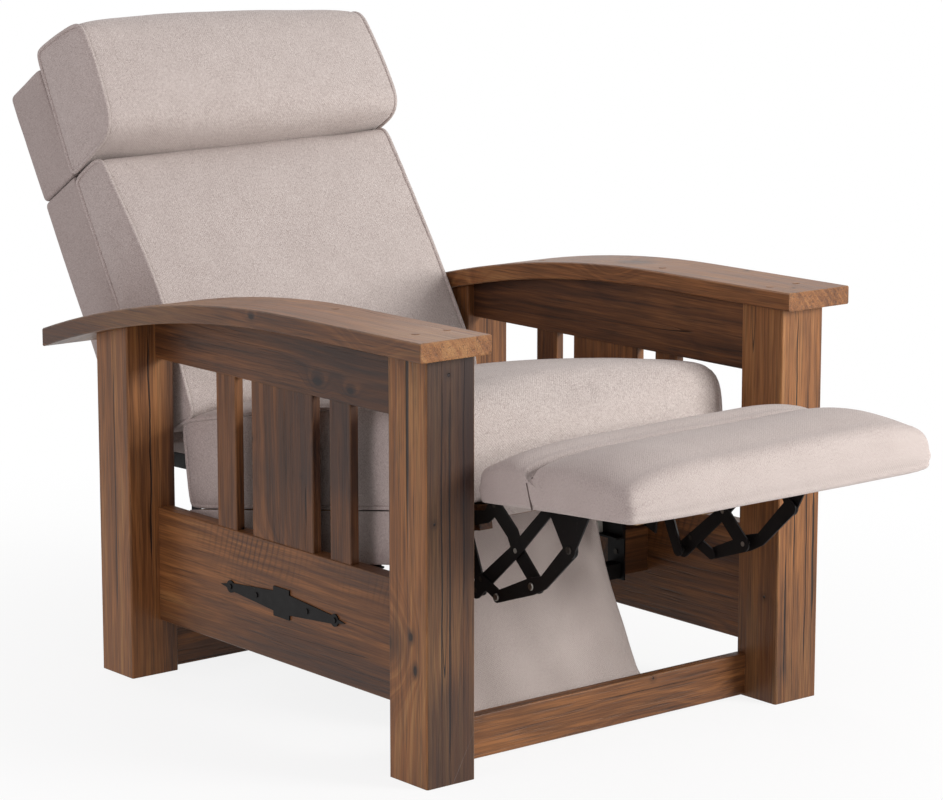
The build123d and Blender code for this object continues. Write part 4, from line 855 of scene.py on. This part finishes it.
# Footrest pad, two rolls with a sewn groove between them
FOOT_HALF = 0.306
FOOT_RIM = 0.014
FOOT_REACH = 0.140           # how far from either end the pad starts to slope down
FOOT_RISE = 0.005            # how much higher than its middle its right end lies
GROOVE = -0.119
THREAD = 0.0013
foot_corners = [
    corner(-0.004, -0.0015, 0.010),
    corner(-0.334, -0.0015, 0.012, 0.003, 0.002, tuck=(0.000, 0.006)),
    corner(-0.337, 0.079, 0.034, 0.004, 0.008, skew=(0.000, FOOT_RISE), tuck=(0.006, -0.038)),
    corner(-0.132, 0.083, 0.036, 0.001, 0.000, skew=(0.000, FOOT_RISE), tuck=(0.000, -0.024)),
    corner(-0.119, 0.054, 0.008, 0.001, 0.000, skew=(0.000, FOOT_RISE), tuck=(0.000, -0.010)),
    corner(-0.106, 0.080, 0.030, 0.006, 0.004, skew=(0.000, FOOT_RISE), tuck=(0.000, -0.024)),
    corner(-0.004, 0.066, 0.034, 0.004, 0.002, skew=(0.000, FOOT_RISE), tuck=(0.000, -0.014)),
]
cushion("footrest_cover", foot_corners, FOOT_HALF, FOOT, linen_foot, "footrest", ["footrest_pad"], cap=0.001,
        edge=FOOT_RIM, reach=FOOT_REACH, pucker=0.0010, wrinkle=0.0016, power=6.0, seed=11.0, rows=56)


def footrest_seam():
    """The dark cord of painted shade along the seam: up the left end, along the groove and down the right end.
    """
    path = []
    heights = [0.046, 0.036, 0.026, 0.016, 0.008]
    top, in_groove = heights[0], 0.0575
    past = FOOT_HALF + 0.0006
    rim_width = FOOT_RIM + 0.002

    def end(side, height, sunk):
        return FOOT @ Vector((side * past, GROOVE - (top - height) / 4, height - sunk))

    path += [end(-1, height, 0.006) for height in reversed(heights)]
    for j in range(61):
        share = j / 30 - 1
        near = min(1.0, FOOT_HALF * (1 - abs(share)) / FOOT_REACH)
        close = 1 - math.sqrt(1 - (1 - near) ** 2)
        rim = max(0.0, abs(share) * FOOT_HALF - (FOOT_HALF - rim_width)) / rim_width
        drop = 0.012 * (1 - math.sqrt(max(0.0, 1 - rim * rim)))
        height = in_groove + FOOT_RISE * share - 0.009 * close - drop
        path.append(FOOT @ Vector((FOOT_HALF * share, GROOVE, height)))
    path += [end(1, height, 0.002) for height in heights]
    tube("footrest_seam", path, THREAD, seam_thread_shade, "footrest", closed=False, sides=8)


footrest_seam()

# Fabric over the seat rails
PANEL_IN, PANEL_OUT = 0.2871, 0.2899
PANEL_FRONT, PANEL_REAR = -0.640, -0.002
PANEL_LOW, PANEL_TOP = -0.0832, -0.0010
for side, label in ((-1, "left"), (1, "right")):
    panel = [
        corner(PANEL_REAR, PANEL_LOW, 0.002),
        corner(PANEL_FRONT, PANEL_LOW, 0.002),
        corner(PANEL_FRONT, PANEL_TOP, 0.002),
        corner(PANEL_REAR, PANEL_TOP, 0.002),
    ]
    centre = Matrix.Translation((side * (PANEL_IN + PANEL_OUT) / 2, 0, 0))
    cushion("rail_cover_" + label, panel, (PANEL_OUT - PANEL_IN) / 2, centre @ SEAT, linen_seat, "seat",
            ["seat_panels"], cap=0.0004, edge=0.0010, pucker=0.0002, wrinkle=0.0003, seed=13.0 + side, rows=3)

# Padded band along the seat's front rail
BAND_HALF = 0.192
band_corners = [
    corner(-0.6685, -0.0240, 0.0015),
    corner(-0.6720, -0.0240, 0.0020),
    corner(-0.6740, -0.0012, 0.0020),
    corner(-0.6685, -0.0012, 0.0015),
]
cushion("front_band", band_corners, BAND_HALF, SEAT, linen_seat, "seat", ["seat_panels"], seed=15.0,
        cap=0.0004, edge=0.001, pucker=0.0003, wrinkle=0.0006, rows=30)

# Skirt: a sheet that hangs from its cleat and sweeps forward to the stretcher
SKIRT_HALF = 0.191
SKIRT_THICK = 0.0016
SKIRT_PATH = [
    Vector((-0.1325, 0.305)),
    Vector((-0.1370, 0.264)),
    Vector((-0.1660, 0.176)),
    Vector((-0.1990, 0.105)),
    Vector((-0.2200, 0.058)),
    Vector((-0.2400, 0.028)),
    Vector((-0.2760, 0.0130)),
    Vector((-0.3420, 0.0120)),
]


def smooth_path(points, count):
    """A curve through points, evenly resampled."""
    fine = []
    padded = [points[0] * 2 - points[1]] + points + [points[-1] * 2 - points[-2]]
    for i in range(1, len(padded) - 2):
        a, b, c, d = padded[i - 1:i + 3]
        for j in range(20):
            t = j / 20
            fine.append(0.5 * ((2 * b) + (c - a) * t + (2 * a - 5 * b + 4 * c - d) * t * t
                               + (3 * b - a - 3 * c + d) * t ** 3))
    fine.append(points[-1])
    lengths = [0.0]
    for a, b in zip(fine[:-1], fine[1:]):
        lengths.append(lengths[-1] + (b - a).length)
    result, k = [], 0
    for i in range(count):
        goal = lengths[-1] * i / (count - 1)
        while k < len(lengths) - 2 and lengths[k + 1] < goal:
            k += 1
        share = (goal - lengths[k]) / (lengths[k + 1] - lengths[k])
        result.append(fine[k].lerp(fine[k + 1], min(1.0, max(0.0, share))))
    return result, lengths[-1]


def skirt():
    """The skirt's cloth, with soft diagonal folds between its two fixed ends."""
    down, across = 90, 70
    path, length = smooth_path(SKIRT_PATH, down)
    layers = []
    for face in (0, 1):
        rows = []
        for i, spot in enumerate(path):
            ahead = path[min(i + 1, down - 1)] - path[max(i - 1, 0)]
            out = Vector((ahead.y, -ahead.x)).normalized()
            if out.x > 0:
                out = -out
            t = i / (down - 1)
            loose = math.sin(math.pi * min(1.0, t * 1.02)) ** 0.7
            row = []
            # two trains of slanting folds, and some unevenness
            for j in range(across + 1):
                s = 2 * j / across - 1
                fold = 0.0042 * math.sin(5.2 * s + 3.4 * t + 0.6) + 0.0030 * math.sin(9.5 * s - 4.6 * t + 2.0)
                fold += 0.0022 * noise.noise(Vector((s * 3, t * 4, 0.4)))
                waist = SKIRT_HALF - 0.004 * math.sin(math.pi * t)
                lift = loose * (fold + 0.003) + face * SKIRT_THICK
                place = spot + out * lift
                row.append(Vector((s * waist, place.x, place.y)))
            rows.append(row)
        layers.append(rows)
    verts = [v for rows in layers for row in rows for v in row]
    wide = across + 1
    faces = []
    for face in (0, 1):
        base = face * down * wide
        for i in range(down - 1):
            for j in range(across):
                quad = (base + i * wide + j, base + i * wide + j + 1, base + (i + 1) * wide + j + 1,
                        base + (i + 1) * wide + j)
                faces.append(quad if face else quad[::-1])
    rim = [(0, j) for j in range(across)] + [(i, across) for i in range(down - 1)]
    rim += [(down - 1, j) for j in range(across, 0, -1)] + [(i, 0) for i in range(down - 1, 0, -1)]
    offset = down * wide
    for (i, j), (k, m) in zip(rim, rim[1:] + rim[:1]):
        a, b = i * wide + j, k * wide + m
        faces.append((a, b, b + offset, a + offset))
    piece = mesh_piece("skirt_cloth", verts, faces, linen_skirt, None, ["skirt"])
    turn_outwards(piece)
    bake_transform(piece)


skirt()

# Camera at the photograph's view
camera_data = bpy.data.cameras.new("camera")
camera = bpy.data.objects.new("camera", camera_data)
bpy.context.scene.collection.objects.link(camera)
azimuth, elevation = math.radians(AZIMUTH), math.radians(ELEVATION)
towards = Vector((math.sin(azimuth) * math.cos(elevation), -math.cos(azimuth) * math.cos(elevation),
                  math.sin(elevation)))
camera.location = TARGET + DISTANCE * towards
camera.rotation_euler = (-towards).to_track_quat("-Z", "Y").to_euler()
camera_data.sensor_width = SENSOR
camera_data.lens = FOCAL_PIXELS * SENSOR / PHOTO_WIDTH
bpy.context.scene.camera = camera


# Floor, light and background
FLOOR_REACH = 30.0
FLOOR_GREY = 0.86
FLOOR_WHITE = 0.86           # share of white backdrop right under the chair
WORLD_LEVEL = 0.49           # strength of the world's light on the object
WORLD_TINT = (1.0, 0.968, 0.975, 1)
WHITE = (1, 1, 1, 1)


def shows_backdrop(tree):
    """1 for the rays that show the white backdrop: from the camera, in gloss and through glass."""
    rays = tree.nodes.new("ShaderNodeLightPath")
    seen = rays.outputs["Is Camera Ray"]
    for kind in ("Is Glossy Ray", "Is Transmission Ray"):
        either = tree.nodes.new("ShaderNodeMath")
        either.operation = "MAXIMUM"
        tree.links.new(seen, either.inputs[0])
        tree.links.new(rays.outputs[kind], either.inputs[1])
        seen = either.outputs[0]
    return seen


def floor():
    """A pale floor that keeps the object's shadow and gives way to the white backdrop away from it."""
    data = bpy.data.meshes.new("floor")
    reach = FLOOR_REACH
    data.from_pydata([(-reach, -reach, 0), (reach, -reach, 0), (reach, reach, 0), (-reach, reach, 0)], [],
                     [(0, 1, 2, 3)])
    piece = bpy.data.objects.new("floor", data)
    bpy.context.scene.collection.objects.link(piece)
    g = Graph("floor")
    away = g.add("ShaderNodeVectorMath", {0: g.place((1, 0.8, 1))}, "Value", operation="LENGTH")
    share = g.step(away, 0.5, 1.6, FLOOR_WHITE, 1.0)
    glow = g.tree.nodes.new("ShaderNodeEmission")
    glow.inputs["Color"].default_value = WHITE
    blend = g.tree.nodes.new("ShaderNodeMixShader")
    g.put(blend.inputs[0], g.calc("MULTIPLY", share, shows_backdrop(g.tree)))
    g.finish(Base_Color=(FLOOR_GREY, FLOOR_GREY, FLOOR_GREY, 1), Roughness=0.9, Specular_IOR_Level=0.0)
    g.put(blend.inputs[1], g.shader.outputs[0])
    g.put(blend.inputs[2], glow.outputs[0])
    g.put(g.surface, blend.outputs[0])
    data.materials.append(g.material)


def area_light(name, place, aim, size, power, colour=(1, 1, 1)):
    """A soft light of so many watts that looks at a point."""
    data = bpy.data.lights.new(name, "AREA")
    data.shape = "RECTANGLE"
    data.size, data.size_y = size
    data.energy = power
    data.color = colour
    lamp = bpy.data.objects.new(name, data)
    lamp.location = place
    lamp.rotation_euler = (Vector(aim) - Vector(place)).to_track_quat("-Z", "Y").to_euler()
    bpy.context.scene.collection.objects.link(lamp)


floor()
area_light("key", (1.9, -3.3, 1.65), (0, 0, 0.45), (1.3, 1.2), 132, (1.0, 0.99, 0.97))
area_light("side", (-3.4, -0.6, 1.7), (0, 0, 0.4), (1.6, 2.0), 21, (1.0, 0.84, 0.88))
area_light("rear", (0.6, 3.2, 3.0), (0, 0, 0.5), (2.5, 2.0), 30)


def backdrop():
    """The world: white where it is seen, dimmer where it lights the object."""
    world = bpy.data.worlds.new("world")
    bpy.context.scene.world = world
    world.use_nodes = True
    tree = world.node_tree
    background = tree.nodes["Background"]
    seen = shows_backdrop(tree)
    strength = tree.nodes.new("ShaderNodeMapRange")
    tree.links.new(seen, strength.inputs["Value"])
    strength.inputs["To Min"].default_value = WORLD_LEVEL
    strength.inputs["To Max"].default_value = 1.0
    tree.links.new(strength.outputs[0], background.inputs["Strength"])
    tint = tree.nodes.new("ShaderNodeMix")
    tint.data_type = "RGBA"
    tint.inputs[6].default_value = WORLD_TINT
    tint.inputs[7].default_value = WHITE
    tree.links.new(seen, tint.inputs[0])
    tree.links.new(tint.outputs[2], background.inputs["Color"])


backdrop()

bpy.context.scene.view_settings.view_transform = "Standard"
